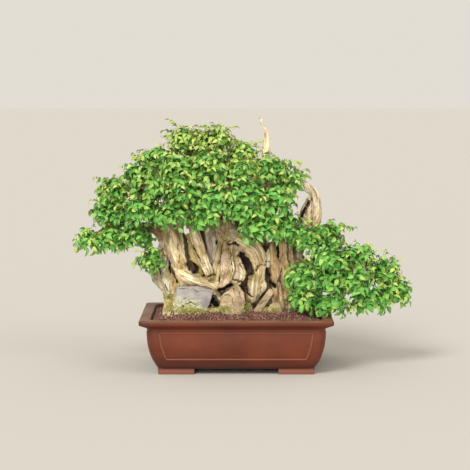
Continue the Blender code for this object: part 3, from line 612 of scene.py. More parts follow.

# %% [markdown]
# ## Fired clay
#
# Unglazed clay is a deep reddish brown with a soft sheen. The beads are painted lighter, as a painted
# highlight on the raised bead, and the feet are painted lighter, as painted light where they face the
# lamps. A painted shadow darkens the lower wall, the lip is darker on its underside and front, and the
# rim's top has patches of ochre. Faint horizontal drag marks stay from the smoothing of the wall.

# %% Finish of the clay
clay, clay_shader = new_finish("clay", 0.52, 0.32)
clay_at = place_on_piece(clay)
clay_height = parts_of(clay, clay_at)[2]
clay_patch = mottle(clay, clay_at, 9.0, 4.0)
clay_speck = mottle(clay, clay_at, 900.0, 2.0)
clay_dark = mottle(clay, clay_at, 420.0, 2.0)
clay_rim_patch = mottle(clay, clay_at, 26.0, 4.0)
lip_share = times(clay, between(clay, clay_height, 0.128, 0.134, 0.0, 0.45),
                  between(clay, clay_height, POT_TOP - 0.002, POT_TOP - 0.004))
rim_share = between(clay, clay_height, POT_TOP - 0.0016, POT_TOP - 0.0004)
# Patches of ochre on the rim's top.
rim_ochre_share = times(clay, rim_share, between(clay, clay_rim_patch, 0.35, 0.60, 0.15, 0.75))
shadow_share = between(clay, clay_height, 0.050, 0.018, 0.0, 0.55)
# Painted highlight: the beads are painted lighter, in place of the light on the raised bead.
painted_bead_highlight = times(clay, stored(clay, "bead"), 0.28)
# Painted light: the feet are painted lighter, as where they face the lamps.
painted_foot_light = between(clay, clay_height, 0.016, 0.010, 0.0, 0.5)
clay_colour = layered(clay, two_tones(clay, clay_patch, 0.35, 0.68, "4f200f", "6a2f19"),
                      (between(clay, clay_speck, 0.50, 0.72, 0.0, 0.35), "84472f"),
                      (between(clay, clay_dark, 0.60, 0.74, 0.0, 0.35), "47241a"),
                      (rim_ochre_share, "846848"), (shadow_share, "32150d"), (lip_share, "4a1c10"),
                      (painted_bead_highlight, "9e6548"), (painted_foot_light, "9a5f4a"))
clay_drag = mottle(clay, stretched(clay, clay_at, 3.0, 3.0, 260.0), 1.0, 3.0)
clay_grit = mottle(clay, clay_at, 1500.0, 2.0)
clay_bump = relief(clay, clay_drag, 0.00025)
clay_bump = relief(clay, clay_grit, 0.00022, clay_bump)
clay_gloss = between(clay, clay_patch, 0.3, 0.7, 0.42, 0.60)
wire(clay, clay_shader, Base_Color=clay_colour, Roughness=clay_gloss, Normal=clay_bump)

link_piece("pot_clay", pot_mesh, clay, ["pot"])
pot_mesh.set_sharp_from_angle(angle=math.radians(38))

# %% [markdown]
# ## Drain screens
#
# The two plastic screens are hidden under the soil. Their shape in the frame is right, so they
# stay and only get a finish: black plastic with a faint moulded grain.

# %% Finish of the screens
plastic, plastic_shader = new_finish("screen_plastic", 0.45)
plastic_at = place_on_piece(plastic)
plastic_grain = mottle(plastic, plastic_at, 700.0, 2.0)
plastic_colour = two_tones(plastic, plastic_grain, 0.3, 0.7, "161616", "262624")
wire(plastic, plastic_shader, Base_Color=plastic_colour, Normal=relief(plastic, plastic_grain, 0.0001))
for name in ("drain_screen_left", "drain_screen_right"):
    finish_node(name, plastic)

# %% [markdown]
# ## The stump and the dead wood: where each strand runs
#
# The stump is a bundle of old roots and ribs that have grown together round hollows. Each strand is
# given by stations from one end to the other: across, back and up from the middle of the pot's
# foot, then half its width and half its depth, all in millimetres, as the source of the solids
# gives them. With each strand goes the kind of its wood. The living limbs have round sections, so
# their stations have one radius.

# %% Strands and limbs
STRANDS = {
    "left buttress": ("mossy", [(-206, 2, 290, 15, 14), (-205, -2, 270, 25, 22), (-194, -12, 245, 29, 26),
                                (-184, -22, 219, 25, 24), (-179, -30, 194, 18, 20),
                                (-179, -38, 131, 20, 24)]),
    "left shoulder": ("mossy", [(-180, -12, 352, 11, 12), (-188, -12, 328, 21, 17),
                                (-190, -12, 300, 23, 19), (-190, -14, 268, 20, 18)]),
    "left trunk": ("straw", [(-184, -8, 391, 26, 16), (-172, -20, 342, 34, 20), (-163, -26, 316, 28, 20),
                             (-154, -32, 290, 21, 20), (-151, -34, 267, 22, 22), (-141, -26, 193, 36, 24),
                             (-139, -22, 129, 38, 24)]),
    "left shelf": ("cream", [(-158, -40, 265, 14, 14), (-140, -46, 249, 19, 16), (-115, -48, 237, 22, 17),
                             (-64, -40, 218, 15, 15), (-48, -32, 187, 12, 14), (-38, -26, 130, 15, 17)]),
    "slot post": ("cream", [(-149, -12, 384, 10, 12), (-145, -16, 358, 8, 11), (-145, -28, 306, 9, 13),
                            (-143, -34, 280, 12, 13)]),
    "grey post": ("grey", [(-162, -8, 338, 5, 5), (-159, -16, 312, 11, 10), (-157, -28, 273, 12, 12)]),
    "cream bar": ("cream", [(-113, -36, 400, 15, 12), (-109, -48, 371, 16, 13), (-101, -58, 339, 16, 13),
                            (-79, -64, 277, 14, 12), (-73, -60, 259, 12, 11), (-69, -48, 239, 9, 9)]),
    "olive bar": ("olive", [(-127, -28, 356, 8, 9), (-111, -46, 298, 11, 10), (-99, -48, 272, 11, 10),
                            (-87, -44, 252, 9, 9)]),
    "grey slab": ("lilac", [(-75, -6, 384, 20, 9), (-71, -12, 358, 19, 10), (-65, -26, 306, 13, 10),
                            (-62, -28, 276, 10, 10), (-61, -26, 250, 9, 9)]),
    "cream rib": ("straw", [(-38, -20, 362, 9, 10), (-40, -30, 333, 10, 11), (-52, -42, 275, 11, 12),
                            (-55, -42, 245, 13, 13), (-57, -32, 174, 12, 13), (-56, -26, 130, 14, 14)]),
    "heart cone": ("beige", [(-16, -40, 339, 14, 12), (-14, -50, 322, 22, 18), (-12, -58, 300, 30, 24),
                             (-9, -62, 264, 39, 27), (-16, -58, 239, 33, 24), (-26, -52, 223, 22, 18),
                             (-38, -44, 209, 12, 13)]),
    "knuckle": ("straw", [(-43, -4, 407, 14, 14), (-30, -22, 359, 30, 22), (-16, -30, 345, 26, 20),
                          (3, -36, 339, 18, 16)]),
    "arch": ("straw", [(-23, -28, 356, 18, 16), (30, -48, 325, 21, 16), (51, -54, 306, 24, 16),
                       (61, -56, 261, 18, 16), (53, -57, 237, 27, 17), (51, -54, 213, 26, 16),
                       (48, -50, 193, 17, 13), (43, -46, 176, 9, 9)]),
    "crest left": ("cream", [(71, -50, 276, 10, 8), (71, -47, 302, 8, 6), (64, -44, 321, 2, 2)]),
    "crest right": ("cream", [(79, -48, 269, 9, 7), (82, -44, 295, 7, 6), (87, -40, 320, 1.5, 1.5)]),
    "dark root": ("dark", [(30, -46, 200, 10, 9), (26, -52, 168, 13, 11), (26, -52, 122, 16, 14)]),
    "orange slab": ("tan", [(95, -22, 331, 8, 7), (96, -30, 307, 10, 9), (99, -32, 274, 14, 12),
                            (106, -28, 233, 15, 13), (114, -20, 129, 18, 16)]),
    "right trunk": ("tan", [(148, 0, 383, 16, 16), (137, -8, 351, 21, 19), (132, -16, 322, 25, 20),
                            (137, -20, 252, 28, 24), (148, -14, 198, 28, 26), (157, -6, 127, 30, 28)]),
    "silver ridge": ("silver", [(178, 6, 336, 10, 12), (207, 12, 362, 10, 11), (218, 16, 400, 9, 10),
                                (220, 18, 434, 7, 8), (212, 18, 463, 5, 6), (193, 16, 485, 2, 3)]),
    "silver face": ("silver", [(169, 4, 336, 14, 12), (194, 10, 368, 17, 11), (202, 14, 405, 15, 9),
                               (203, 16, 437, 14, 8), (199, 17, 466, 9, 6), (188, 15, 485, 2, 2)]),
    "silver back": ("silver", [(158, 10, 350, 11, 10), (177, 20, 399, 11, 9), (190, 20, 447, 2, 2)]),
    "silver spike": ("silver", [(188, 18, 463, 4, 4), (180, 16, 495, 5, 4), (169, 14, 519, 3.5, 3.5),
                                (153, 12, 541, 1.2, 1.2)]),
    "grey root": ("grey", [(175, 4, 347, 9, 9), (172, -6, 316, 10, 10), (164, -12, 279, 10, 10),
                           (161, -14, 237, 12, 12), (172, -10, 188, 13, 13), (181, -4, 122, 15, 15)]),
    "red root": ("red", [(170, 4, 294, 11, 11), (189, 6, 251, 12, 12), (199, 4, 203, 11, 11),
                         (199, 0, 171, 11, 11), (200, -2, 122, 13, 13)]),
    "jin stem": ("amber", [(58, 10, 325, 16, 15), (71, 14, 384, 14, 13), (79, 12, 453, 13, 11),
                           (79, 4, 565, 15, 8), (80, 0, 623, 7, 5.5), (69, -2, 639, 3.6, 3.6),
                           (57, -5, 671, 0.9, 0.9)]),
    "jin fork": ("amber", [(67, -2, 642, 2.6, 2.6), (68, -1, 655, 1.8, 1.8), (73, 0, 665, 0.8, 0.8)]),
    "left jin": ("lilac", [(-202, -10, 348, 9, 9), (-224, 4, 406, 8, 8), (-237, 12, 464, 7.5, 7),
                           (-244, 14, 511, 6, 5), (-247, 13, 543, 4, 3.5), (-250, 12, 559, 1.2, 1.2)]),
    "back wall left": ("bark", [(-170, 18, 385, 12, 10), (-160, 28, 340, 24, 16), (-152, 34, 280, 36, 20),
                                (-150, 38, 200, 42, 24), (-150, 40, 121, 44, 26)]),
    "back wall second": ("bark", [(-104, 20, 425, 18, 14), (-98, 34, 370, 30, 18), (-92, 44, 300, 40, 22),
                                  (-88, 50, 210, 44, 26), (-85, 52, 121, 46, 28)]),
    "back wall middle": ("bark", [(-34, 12, 430, 20, 16), (-28, 30, 380, 34, 22), (-20, 44, 300, 42, 24),
                                  (-15, 54, 210, 46, 28), (-15, 58, 121, 48, 30)]),
    "back wall fourth": ("bark", [(56, 26, 345, 26, 18), (56, 40, 290, 38, 22), (58, 50, 210, 44, 26),
                                  (60, 52, 121, 46, 28)]),
    "back wall right": ("bark", [(132, 16, 345, 22, 18), (124, 30, 290, 32, 22), (122, 40, 210, 38, 26),
                                 (125, 42, 121, 42, 28)]),
}
LIMBS = {
    "left crown": [(-117, -4, 369, 14), (-123, 6, 411, 12), (-120, 8, 453, 10), (-128, 4, 501, 8),
                   (-133, 0, 541, 5)],
    "right crown": [(-27, -8, 359, 26), (-33, 4, 400, 22), (-46, 8, 443, 16), (-54, 6, 491, 11),
                    (-54, 4, 533, 6)],
    "gap": [(-40, 4, 438, 10), (-17, -10, 478, 8), (10, -22, 506, 7), (41, -30, 524, 5)],
    "left": [(-180, -20, 323, 11), (-202, -16, 349, 10), (-234, -8, 372, 8), (-279, 0, 387, 6),
             (-324, 2, 382, 5)],
    "left upper": [(-202, -14, 346, 9), (-224, 2, 401, 8), (-250, 8, 443, 6), (-282, 8, 464, 5)],
    "right low": [(140, 0, 342, 15), (137, -6, 385, 13), (123, -14, 426, 10), (105, -24, 456, 7)],
    "cascade": [(158, -20, 275, 11), (197, -36, 282, 10), (245, -34, 266, 8), (295, -26, 260, 6),
                (344, -14, 242, 5)],
    "cascade upper": [(145, -8, 364, 6), (166, -20, 341, 5.5), (216, -22, 326, 5), (264, -14, 322, 4)],
    "back left": [(-104, 20, 425, 13), (-128, 52, 440, 9), (-165, 82, 455, 7), (-180, 84, 458, 5)],
    "back right": [(-34, 12, 430, 14), (-36, 48, 452, 9), (-42, 84, 470, 6)],
    "back far right": [(132, 16, 345, 12), (112, 52, 380, 8), (88, 78, 405, 6)],
}
print(len(STRANDS), "strands and", len(LIMBS), "limbs")

# %% [markdown]
# ## From stations to smooth lines
#
# A Catmull-Rom curve passes through every station without a kink. It is read every few
# millimetres, and at each point a small frame is kept: the way along, one side and the front. The
# oval sections are drawn in that frame, and the wood's grain is later painted in it too.

# %% Read smooth lines
LINE_STEP = 0.004
THINNEST = 0.0006


def smooth_line(stations, step):
    """Rows of (x, y, z, width, depth) in metres on a curve through the stations."""
    rows = np.array(stations, float) * MM
    rows[:, :3] += np.array(POT_MIDDLE)
    ends = np.vstack([2 * rows[0] - rows[1], rows, 2 * rows[-1] - rows[-2]])
    made = []
    for a, b, c, d in zip(ends, ends[1:], ends[2:], ends[3:]):
        count = max(2, math.ceil(np.linalg.norm((c - b)[:3]) / step))
        for t in np.arange(count) / count:
            made.append(0.5 * (2 * b + (c - a) * t + (2 * a - 5 * b + 4 * c - d) * t ** 2
                               + (3 * b - a - 3 * c + d) * t ** 3))
    made.append(rows[-1])
    made = np.array(made)
    made[:, 3:] = np.maximum(made[:, 3:], THINNEST)
    return made


def line_frames(centres):
    """The way along, the side and the front at each point of a line."""
    along = np.gradient(centres, axis=0)
    along /= np.linalg.norm(along, axis=1)[:, None]
    sides = []
    side = np.array((1.0, 0.0, 0.0))
    for way in along:
        across = np.cross(way, (0.0, 1.0, 0.0))
        side = across if np.linalg.norm(across) > 0.3 else side - way * side.dot(way)
        side = side / np.linalg.norm(side)
        sides.append(side)
    sides = np.array(sides)
    return along, sides, np.cross(sides, along)


lines = {}
for name, (wood, stations) in STRANDS.items():
    lines[name] = (wood, smooth_line(stations, LINE_STEP))
for name, stations in LIMBS.items():
    lines["limb " + name] = ("limb", smooth_line([(*s, s[3]) for s in stations], LINE_STEP))
print("line points:", sum(len(rows) for _, rows in lines.values()))

# %% [markdown]
# ## Growing the strands
#
# Each strand is a tube grown by extruding one face from point to point. Real dead wood isn't round:
# it has flutes that run along it, so the section swells and shrinks with its angle, and slowly
# along the strand too. All tubes together then go through a voxel remesh, which fuses them into
# one skin, as the real roots have grown together.

# %% Grow and fuse the strands
VOXEL = 0.0022
THICK_FROM = 0.012
THICK_SIDES = 28
THIN_SIDES = 18
FLUTES = {"limb": 0.04, "bark": 0.10, "beige": 0.16, "silver": 0.16, "amber": 0.12}
USUAL_FLUTES = 0.13
FACETS = 6
FACET_MOST = 1.16
FACET_TURN = 0.9
FACET_AWAY = (0.90, 0.34)


def facet_reach(angle, walked, seed):
    """How far out a section with flat facets reaches at an angle, against a round one."""
    reach = FACET_MOST
    for k in range(FACETS):
        turn = FACET_TURN * noise.noise(Vector((k * 3.7, seed * 5.1, walked * 7)))
        uneven = noise.noise(Vector((k * 9.1 + 50, seed * 2.3, walked * 13)))
        away = FACET_AWAY[0] + FACET_AWAY[1] * uneven
        lean = math.cos(angle - math.tau * k / FACETS - turn)
        if lean > 0.3:
            reach = min(reach, away / lean)
    return reach


def fluted_tube(rows, sides, depth, seed, faceted):
    """A closed tube along rows of (x, y, z, width, depth), with flutes of a relative depth."""
    along, side_ways, fronts = line_frames(rows[:, :3])
    bm = bmesh.new()
    bmesh.ops.create_circle(bm, cap_ends=True, segments=sides, radius=1.0)
    face = next(iter(bm.faces))
    angles = [math.atan2(vert.co.y, vert.co.x) for vert in face.verts]
    walked = 0.0
    for i, row in enumerate(rows):
        if i:
            face = bmesh.ops.extrude_discrete_faces(bm, faces=[face])["faces"][0]
            walked += float(np.linalg.norm(row[:3] - rows[i - 1, :3]))
        for vert, angle in zip(face.verts, angles):
            round_x = math.cos(angle)
            round_y = math.sin(angle)
            wave = noise.noise(Vector((round_x * 1.6, round_y * 1.6, walked * 14 + seed * 7.3)))
            fine = noise.noise(Vector((round_x * 4.0, round_y * 4.0, walked * 26 - seed * 3.1)))
            reach = 1 + depth * (1.1 * wave + 0.8 * fine)
            if faceted:
                reach *= facet_reach(angle, walked, seed)
            vert.co = Vector(row[:3] + side_ways[i] * round_x * row[3] * reach
                             + fronts[i] * round_y * row[4] * reach)
    close_ends(bm, sides)
    return mesh_from(bm, "tube")


def fused_strands():
    """All tubes in one skin."""
    bundle = bmesh.new()
    for seed, (wood, rows) in enumerate(lines.values()):
        sides = THICK_SIDES if rows[:, 3].max() > THICK_FROM else THIN_SIDES
        tube = fluted_tube(rows, sides, FLUTES.get(wood, USUAL_FLUTES), seed, wood != "limb")
        bundle.from_mesh(tube)
        bpy.data.meshes.remove(tube)
    bundle_mesh = mesh_from(bundle, "bundle", turn_out=False)
    return through_modifier(bundle_mesh, "REMESH", mode="VOXEL", voxel_size=VOXEL)


stump_mesh = fused_strands()
print("fused stump:", len(stump_mesh.vertices), "points")

# %% [markdown]
# ## Which strand a point belongs to
#
# To carve and colour the fused skin along its grain, each point needs its strand. The nearest line
# points are found with a search tree, and the one whose oval section fits best wins. The point's
# place in that strand's frame, and how far along it lies, are its grain coordinates. Each strand
# starts at a number of its own along, so that no two have the same noise.

# %% Find the grain
NEAR_LINES = 14
STRAND_SHIFT = 0.731


def line_table():
    """All line points with their frames, sizes, distance along and strand number."""
    columns = {key: [] for key in ("centre", "along", "side", "front", "size", "walked", "strand")}
    for number, (_, rows) in enumerate(lines.values()):
        along, sides, fronts = line_frames(rows[:, :3])
        steps = np.linalg.norm(np.diff(rows[:, :3], axis=0), axis=1)
        columns["centre"].append(rows[:, :3])
        columns["along"].append(along)
        columns["side"].append(sides)
        columns["front"].append(fronts)
        columns["size"].append(rows[:, 3:5])
        columns["walked"].append(np.concatenate([[0.0], np.cumsum(steps)]))
        columns["strand"].append(np.full(len(rows), number))
    return {key: np.concatenate(values) for key, values in columns.items()}


table = line_table()


def grain_of(points):
    """For each point: its strand and its grain coordinates."""
    tree = KDTree(len(table["centre"]))
    for i, centre in enumerate(table["centre"]):
        tree.insert(centre, i)
    tree.balance()
    near = np.array([[found[1] for found in tree.find_n(point, NEAR_LINES)] for point in points])
    offset = points[:, None, :] - table["centre"][near]
    across = (offset * table["side"][near]).sum(2)
    deep = (offset * table["front"][near]).sum(2)
    ahead = (offset * table["along"][near]).sum(2)
    size = table["size"][near]
    misfit = np.hypot(across / size[..., 0], deep / size[..., 1])
    misfit += np.abs(ahead) / size.mean(2)
    best = misfit.argmin(1)
    row = np.arange(len(points))
    chosen = near[row, best]
    grain = np.stack([across[row, best], deep[row, best],
                      table["walked"][chosen] + ahead[row, best]], 1)
    grain[:, 2] += table["strand"][chosen] * STRAND_SHIFT
    return table["strand"][chosen], grain


stump_points = read_points(stump_mesh)
strand_of, grain = grain_of(stump_points)
print("grain found for", len(stump_points), "points")

# %% [markdown]
# ## Carving
#
# Weather takes the soft wood first. That leaves long furrows with the hard grain standing between
# them, deep checks where the wood has split, plates that have flaked off at different heights, and
# crumbly pits on the heart. Each is noise read in grain coordinates, stretched along the strand,
# and moves the skin in or out. The living limbs have smooth bark and are hardly touched.
#
# Some cracks and holes are large enough to be landmarks of this stump. Each is a line of marks read
# off the photo, with half its width and its depth in millimetres.

# %% List the large cracks and the depths of the carving
CRACKS = {
    "buttress crack": ([(-175, 285), (-172, 272), (-166, 258), (-160, 245), (-154, 229)], 3.6, 12),
    "slot": ([(-135, 358), (-133, 335), (-131, 309), (-125, 292)], 4.5, 16),
    "slot hole": ([(-123, 281), (-107, 261)], 13, 30),
    "olive slit": ([(-113, 328), (-105, 309), (-95, 287)], 2.8, 8),
    "bar foot": ([(-76, 244), (-56, 250)], 3, 8),
    "crown hollow": ([(-23, 329), (-8, 334), (7, 328)], 4.5, 10),
    "cone left": ([(-33, 340), (-37, 322), (-42, 299), (-45, 276)], 2.0, 6),
    "cone grain": ([(-16, 309), (-11, 282), (-9, 259)], 2.2, 5),
    "cone grain left": ([(-25, 299), (-22, 269)], 1.8, 4),
    "cone grain right": ([(3, 299), (10, 276), (20, 257)], 2.2, 5),
    "under cone": ([(-43, 208), (-30, 212), (-15, 222)], 7, 22),
    "cone foot": ([(-8, 236), (7, 233), (18, 228), (32, 239)], 3.2, 9),
    "right hollow": ([(14, 299), (26, 276), (38, 255)], 11, 26),
    "knuckle hole": ([(10, 363), (16, 358)], 6.5, 16),
    "arch mouth": ([(53, 261), (57, 272), (67, 276), (76, 275)], 2.8, 7),
    "arch mark": ([(77, 286), (86, 284)], 2.2, 5),
    "slit": ([(83, 262), (82, 243), (87, 228), (101, 219)], 6, 26),
    "slab gap": ([(108, 321), (109, 309), (108, 295)], 5.5, 22),
    "lobe crack": ([(10, 223), (21, 209), (36, 195), (51, 187)], 2.8, 8),
    "stone gap": ([(-69, 176), (-60, 184), (-52, 168)], 13, 24),
    "oblong gap": ([(71, 171), (82, 180), (90, 193)], 7, 22),
    "shoulder pit": ([(-185, 301), (-175, 292)], 2.6, 6),
    "buttress pit": ([(-204, 269), (-198, 252)], 2.4, 5),
    "buttress pit low": ([(-186, 223), (-183, 209)], 2.2, 4),
    "trunk check": ([(-154, 328), (-150, 302), (-152, 282)], 2.2, 5),
    "bar check": ([(-104, 388), (-98, 358), (-89, 328)], 1.6, 3),
    "silver hollow": ([(190, 442), (182, 424), (173, 404), (168, 388)], 7.5, 18),
    "silver split": ([(196, 452), (198, 430), (194, 408)], 2.4, 6),
    "right check": ([(138, 328), (135, 299), (140, 269)], 2.4, 6),
    "right check low": ([(118, 266), (115, 236), (122, 209)], 2.2, 6),
}
CARVING = {
    # Furrows, checks, pits, a long swell, plates and grooves between ribs, all in millimetres.
    "cream": (0.6, 1.4, 0.2, 2.0, 1.4, 0.0), "straw": (0.6, 1.8, 0.7, 3.2, 2.2, 0.0),
    "olive": (0.6, 0.9, 0.3, 1.6, 1.2, 0.0), "grey": (0.7, 1.5, 0.5, 2.0, 1.6, 0.0),
    "lilac": (0.6, 1.4, 0.3, 1.6, 1.4, 0.0), "beige": (0.8, 2.0, 1.8, 4.0, 3.0, 0.0),
    "mossy": (0.7, 1.5, 1.8, 4.4, 2.8, 3.0), "tan": (0.7, 1.9, 0.7, 3.4, 2.6, 3.0),
    "silver": (1.3, 2.4, 0.3, 2.0, 2.0, 0.0), "red": (0.8, 1.0, 0.6, 1.8, 1.2, 0.0),
    "dark": (1.0, 1.2, 1.6, 2.4, 1.6, 0.0), "amber": (0.7, 1.4, 0.2, 1.4, 1.2, 0.0),
    "bark": (1.0, 1.8, 1.6, 7.5, 3.6, 10.0), "limb": (0.4, 0.3, 0.3, 0.9, 0.4, 0.0),
}
woods = [wood for wood, _ in lines.values()]
print(len(CRACKS), "large cracks,", len(CARVING), "kinds of wood")

# %% Work out the carving
# Waves for each metre across a strand, and along it.
RIDGES = (170, 13)
FIBRES = (360, 24)
SPLITS = (75, 7.5)
PLATES = (62, 15)
GROOVES = (27, 4.5)
CRAGS = (42, 17)
SPLIT_NARROW = 9.0
PLATE_EDGE_NARROW = 7.0
GROOVE_NARROW = 5.5


def along_grain(spot, across, along, bend=0.0, ahead=0.0):
    """A place in the noise for grain coordinates, drawn out along the strand and bent."""
    return Vector((spot[0] * across + bend, spot[1] * across - bend, spot[2] * along + ahead))


def carve_depths(points, strands, coordinates):
    """How far each point moves outwards, and how deep its checks are, from 0 to 1."""
    depths = np.zeros(len(points))
    checks = np.zeros(len(points))
    for i, spot in enumerate(coordinates):
        furrows, splits, pits, swell, plates, grooves = CARVING[woods[strands[i]]]
        place = Vector(points[i])
        ridge = noise.noise(along_grain(spot, *RIDGES))
        fine = noise.noise(along_grain(spot, *FIBRES))
        split = max(0.0, 1 - abs(noise.noise(along_grain(spot, *SPLITS))) * SPLIT_NARROW)
        warp = 0.35 * noise.noise(place * 60)
        reaches, centres = noise.voronoi(along_grain(spot, *PLATES, warp, warp))
        plate = noise.noise(centres[0] * 3.3)
        edge = max(0.0, 1 - (reaches[1] - reaches[0]) * PLATE_EDGE_NARROW)
        bend = 0.5 * noise.noise(place * 14)
        groove = max(0.0, 1 - GROOVE_NARROW * abs(noise.noise(along_grain(spot, *GROOVES, bend))))
        groove = groove if grooves else 0.0
        pit = noise.noise(place * 120)
        bulge = noise.noise(place * 34) + 0.8 * noise.noise(place * 15)
        crag = noise.ridged_multi_fractal(along_grain(spot, *CRAGS), 0.9, 2.1, 3, 1.0, 1.6)
        checks[i] = min(1.0, split + 0.7 * edge * min(1.0, plates / 2.0) + 0.8 * groove ** 2)
        depths[i] = (furrows * (1.1 * ridge + 0.6 * fine) - splits * split
                     + pits * (pit + 0.8 * crag - 1.0) + swell * bulge
                     + plates * (1.3 * plate - 0.35 * edge) - grooves * groove ** 1.5) * MM
    return depths, checks


# %% Work out the large cracks
CRACK_WOBBLE = 0.0030
WOBBLE_SHIFTS = [Vector((shift, 0.0, 0.0)) for shift in (0.0, 11.3, 22.6)]
HOLLOW_FROM = 6
CRACK_BACK_LIMIT = 0.015


def crack_shares(points, normals, cracks):
    """How deep in a large crack each point of the front lies, from 0 to 1, and its way back in."""
    share = np.zeros(len(points))
    back = np.zeros(len(points))
    wobble = CRACK_WOBBLE * np.array([[noise.noise(Vector(point) * 90 + shift)
                                       for shift in WOBBLE_SHIFTS] for point in points])
    uneven = np.array([0.62 + 1.1 * noise.noise(Vector(point) * 60) for point in points])
    crack_uneven = np.clip(uneven, 0.12, 1.15)
    hollow_uneven = np.clip(uneven + 0.35, 0.6, 1.2)
    flat = seen_at(points + wobble)
    for line, half, depth in cracks.values():
        nearest = np.full(len(points), 1.0)
        line = np.array(line) * MM
        for start, end in zip(line, line[1:]):
            along = end - start
            walked = np.clip(((flat - start) @ along) / (along @ along), 0.0, 1.0)
            gap = np.linalg.norm(flat - start - walked[:, None] * along, axis=1)
            nearest = np.minimum(nearest, gap)
        width = half * MM * (crack_uneven if half < HOLLOW_FROM else hollow_uneven)
        inside = np.clip(1.5 * (1 - nearest / width), 0.0, 1.0)
        share = np.maximum(share, inside)
        back = np.maximum(back, inside * inside * (3 - 2 * inside) * depth * MM)
    front = np.clip((0.45 - normals[:, 1]) * 2.5, 0.0, 1.0)
    front *= points[:, 1] < POT_MIDDLE.y + CRACK_BACK_LIMIT
    return share * front, back * front


def smoothed(mesh, rounds):
    """Draw each point of a mesh towards its neighbours a few times."""
    bm = bmesh.new()
    bm.from_mesh(mesh)
    for _ in range(rounds):
        bmesh.ops.smooth_vert(bm, verts=bm.verts, factor=0.5, use_axis_x=True, use_axis_y=True,
                              use_axis_z=True)
    bm.to_mesh(mesh)
    bm.free()


# %% Carve the skin
STUMP_TRIANGLES = 200000
smoothed(stump_mesh, 2)
stump_points = read_points(stump_mesh)
stump_normals = read_normals(stump_mesh)
carved, _ = carve_depths(stump_points, strand_of, grain)
_, crack_back = crack_shares(stump_points, stump_normals, CRACKS)
stump_points = stump_points + stump_normals * carved[:, None]
stump_points[:, 1] += crack_back
write_points(stump_mesh, stump_points)
share_kept = STUMP_TRIANGLES / (2 * len(stump_mesh.polygons))
stump_mesh = through_modifier(stump_mesh, "DECIMATE", ratio=min(1.0, share_kept))
print("carved, and thinned to", len(stump_mesh.polygons), "faces")

# %% Read the carving again for the paint
stump_points = read_points(stump_mesh)
strand_of, grain = grain_of(stump_points)
carved, checks = carve_depths(stump_points, strand_of, grain)
towards_camera = np.tile((0.0, -1.0, 0.0), (len(stump_points), 1))
in_crack, _ = crack_shares(stump_points, towards_camera, CRACKS)
print("deep in a crack:", int((in_crack > 0.5).sum()), "points")

# %% [markdown]
# ## How deep in a hollow a point lies
#
# The hollows of the stump are painted nearly black, as painted shade. From each point a few rays go out
# over the half sphere: the share that soon hits wood again says how deep in a hollow it is.

# %% Measure the hollows
HOLLOW_REACH = 0.07
RAY_COUNT = 14
RAY_START = 0.0015


def hollow_shares(mesh):
    """The share of rays from each point that hit wood again, the near ones counted most."""
    skin = tree_over([mesh])
    rays = spread_ways(RAY_COUNT, 0.15, 0.82)
    points = read_points(mesh)
    shares = np.zeros(len(points))
    for i, (point, normal) in enumerate(zip(points, read_normals(mesh))):
        way = Vector(normal)
        turn = UP.rotation_difference(way)
        start = Vector(point) + way * RAY_START
        hits = 0.0
        for ray in rays:
            found = skin.ray_cast(start, turn @ ray, HOLLOW_REACH)
            if found[0] is not None:
                hits += 1 - 0.5 * found[3] / HOLLOW_REACH
        shares[i] = hits / RAY_COUNT
    return shares


hollow = hollow_shares(stump_mesh)
print("hollows measured, deepest", round(hollow.max(), 2))

# %% [markdown]
# ## Painting the wood
#
# Bleached heartwood is cream to straw, old cuts are grey with a hint of lilac, the living side is tan and
# the roots are reddish. Algae give olive patches, and moss greys the left foot. Each finish has two
# colours that noise mixes in patches along the grain. Over that come a painted highlight on the ridges
# and painted shade in the furrows, checks and grooves, and the hollows and the large cracks are painted
# nearly black as painted shade. The result is stored as a colour on each point, and the shader adds the
# fine grain.

# %% Paint the strands
WOOD_COLOURS = {
    "cream": ("fbf2d8", "e6d3a6"), "straw": ("f4ecce", "d6c395"), "olive": ("ddd2a2", "b3a66c"),
    "grey": ("e6ded2", "c6b9a8"), "lilac": ("e6ddd6", "c9bfb5"), "beige": ("ebdfc4", "c9b597"),
    "mossy": ("e6e4d2", "bebda4"), "tan": ("eedcb2", "cdae7e"), "silver": ("f1e9d3", "c6b796"),
    "red": ("cfa283", "a97858"), "dark": ("806750", "574536"), "amber": ("fdf2d2", "f0d6a8"),
    "bark": ("c9b998", "8f7c62"), "limb": ("b89c7c", "8b7054"),
}
STAINED = ("straw", "cream", "olive", "mossy", "beige")
LICHENED = ("mossy", "bark")
LICHEN_TOP = 0.30
LICHEN_FADE = 0.12
HOLLOW_DARK_FROM = 0.50


def paint_colour(code):
    return np.array(linear(code)[:3])


PAINTED_SHADE = paint_colour("1d130e")
CHECK_SHADE = paint_colour("5d452f")
LICHEN = paint_colour("c6caae")
OLIVE_STAIN = paint_colour("97893f")


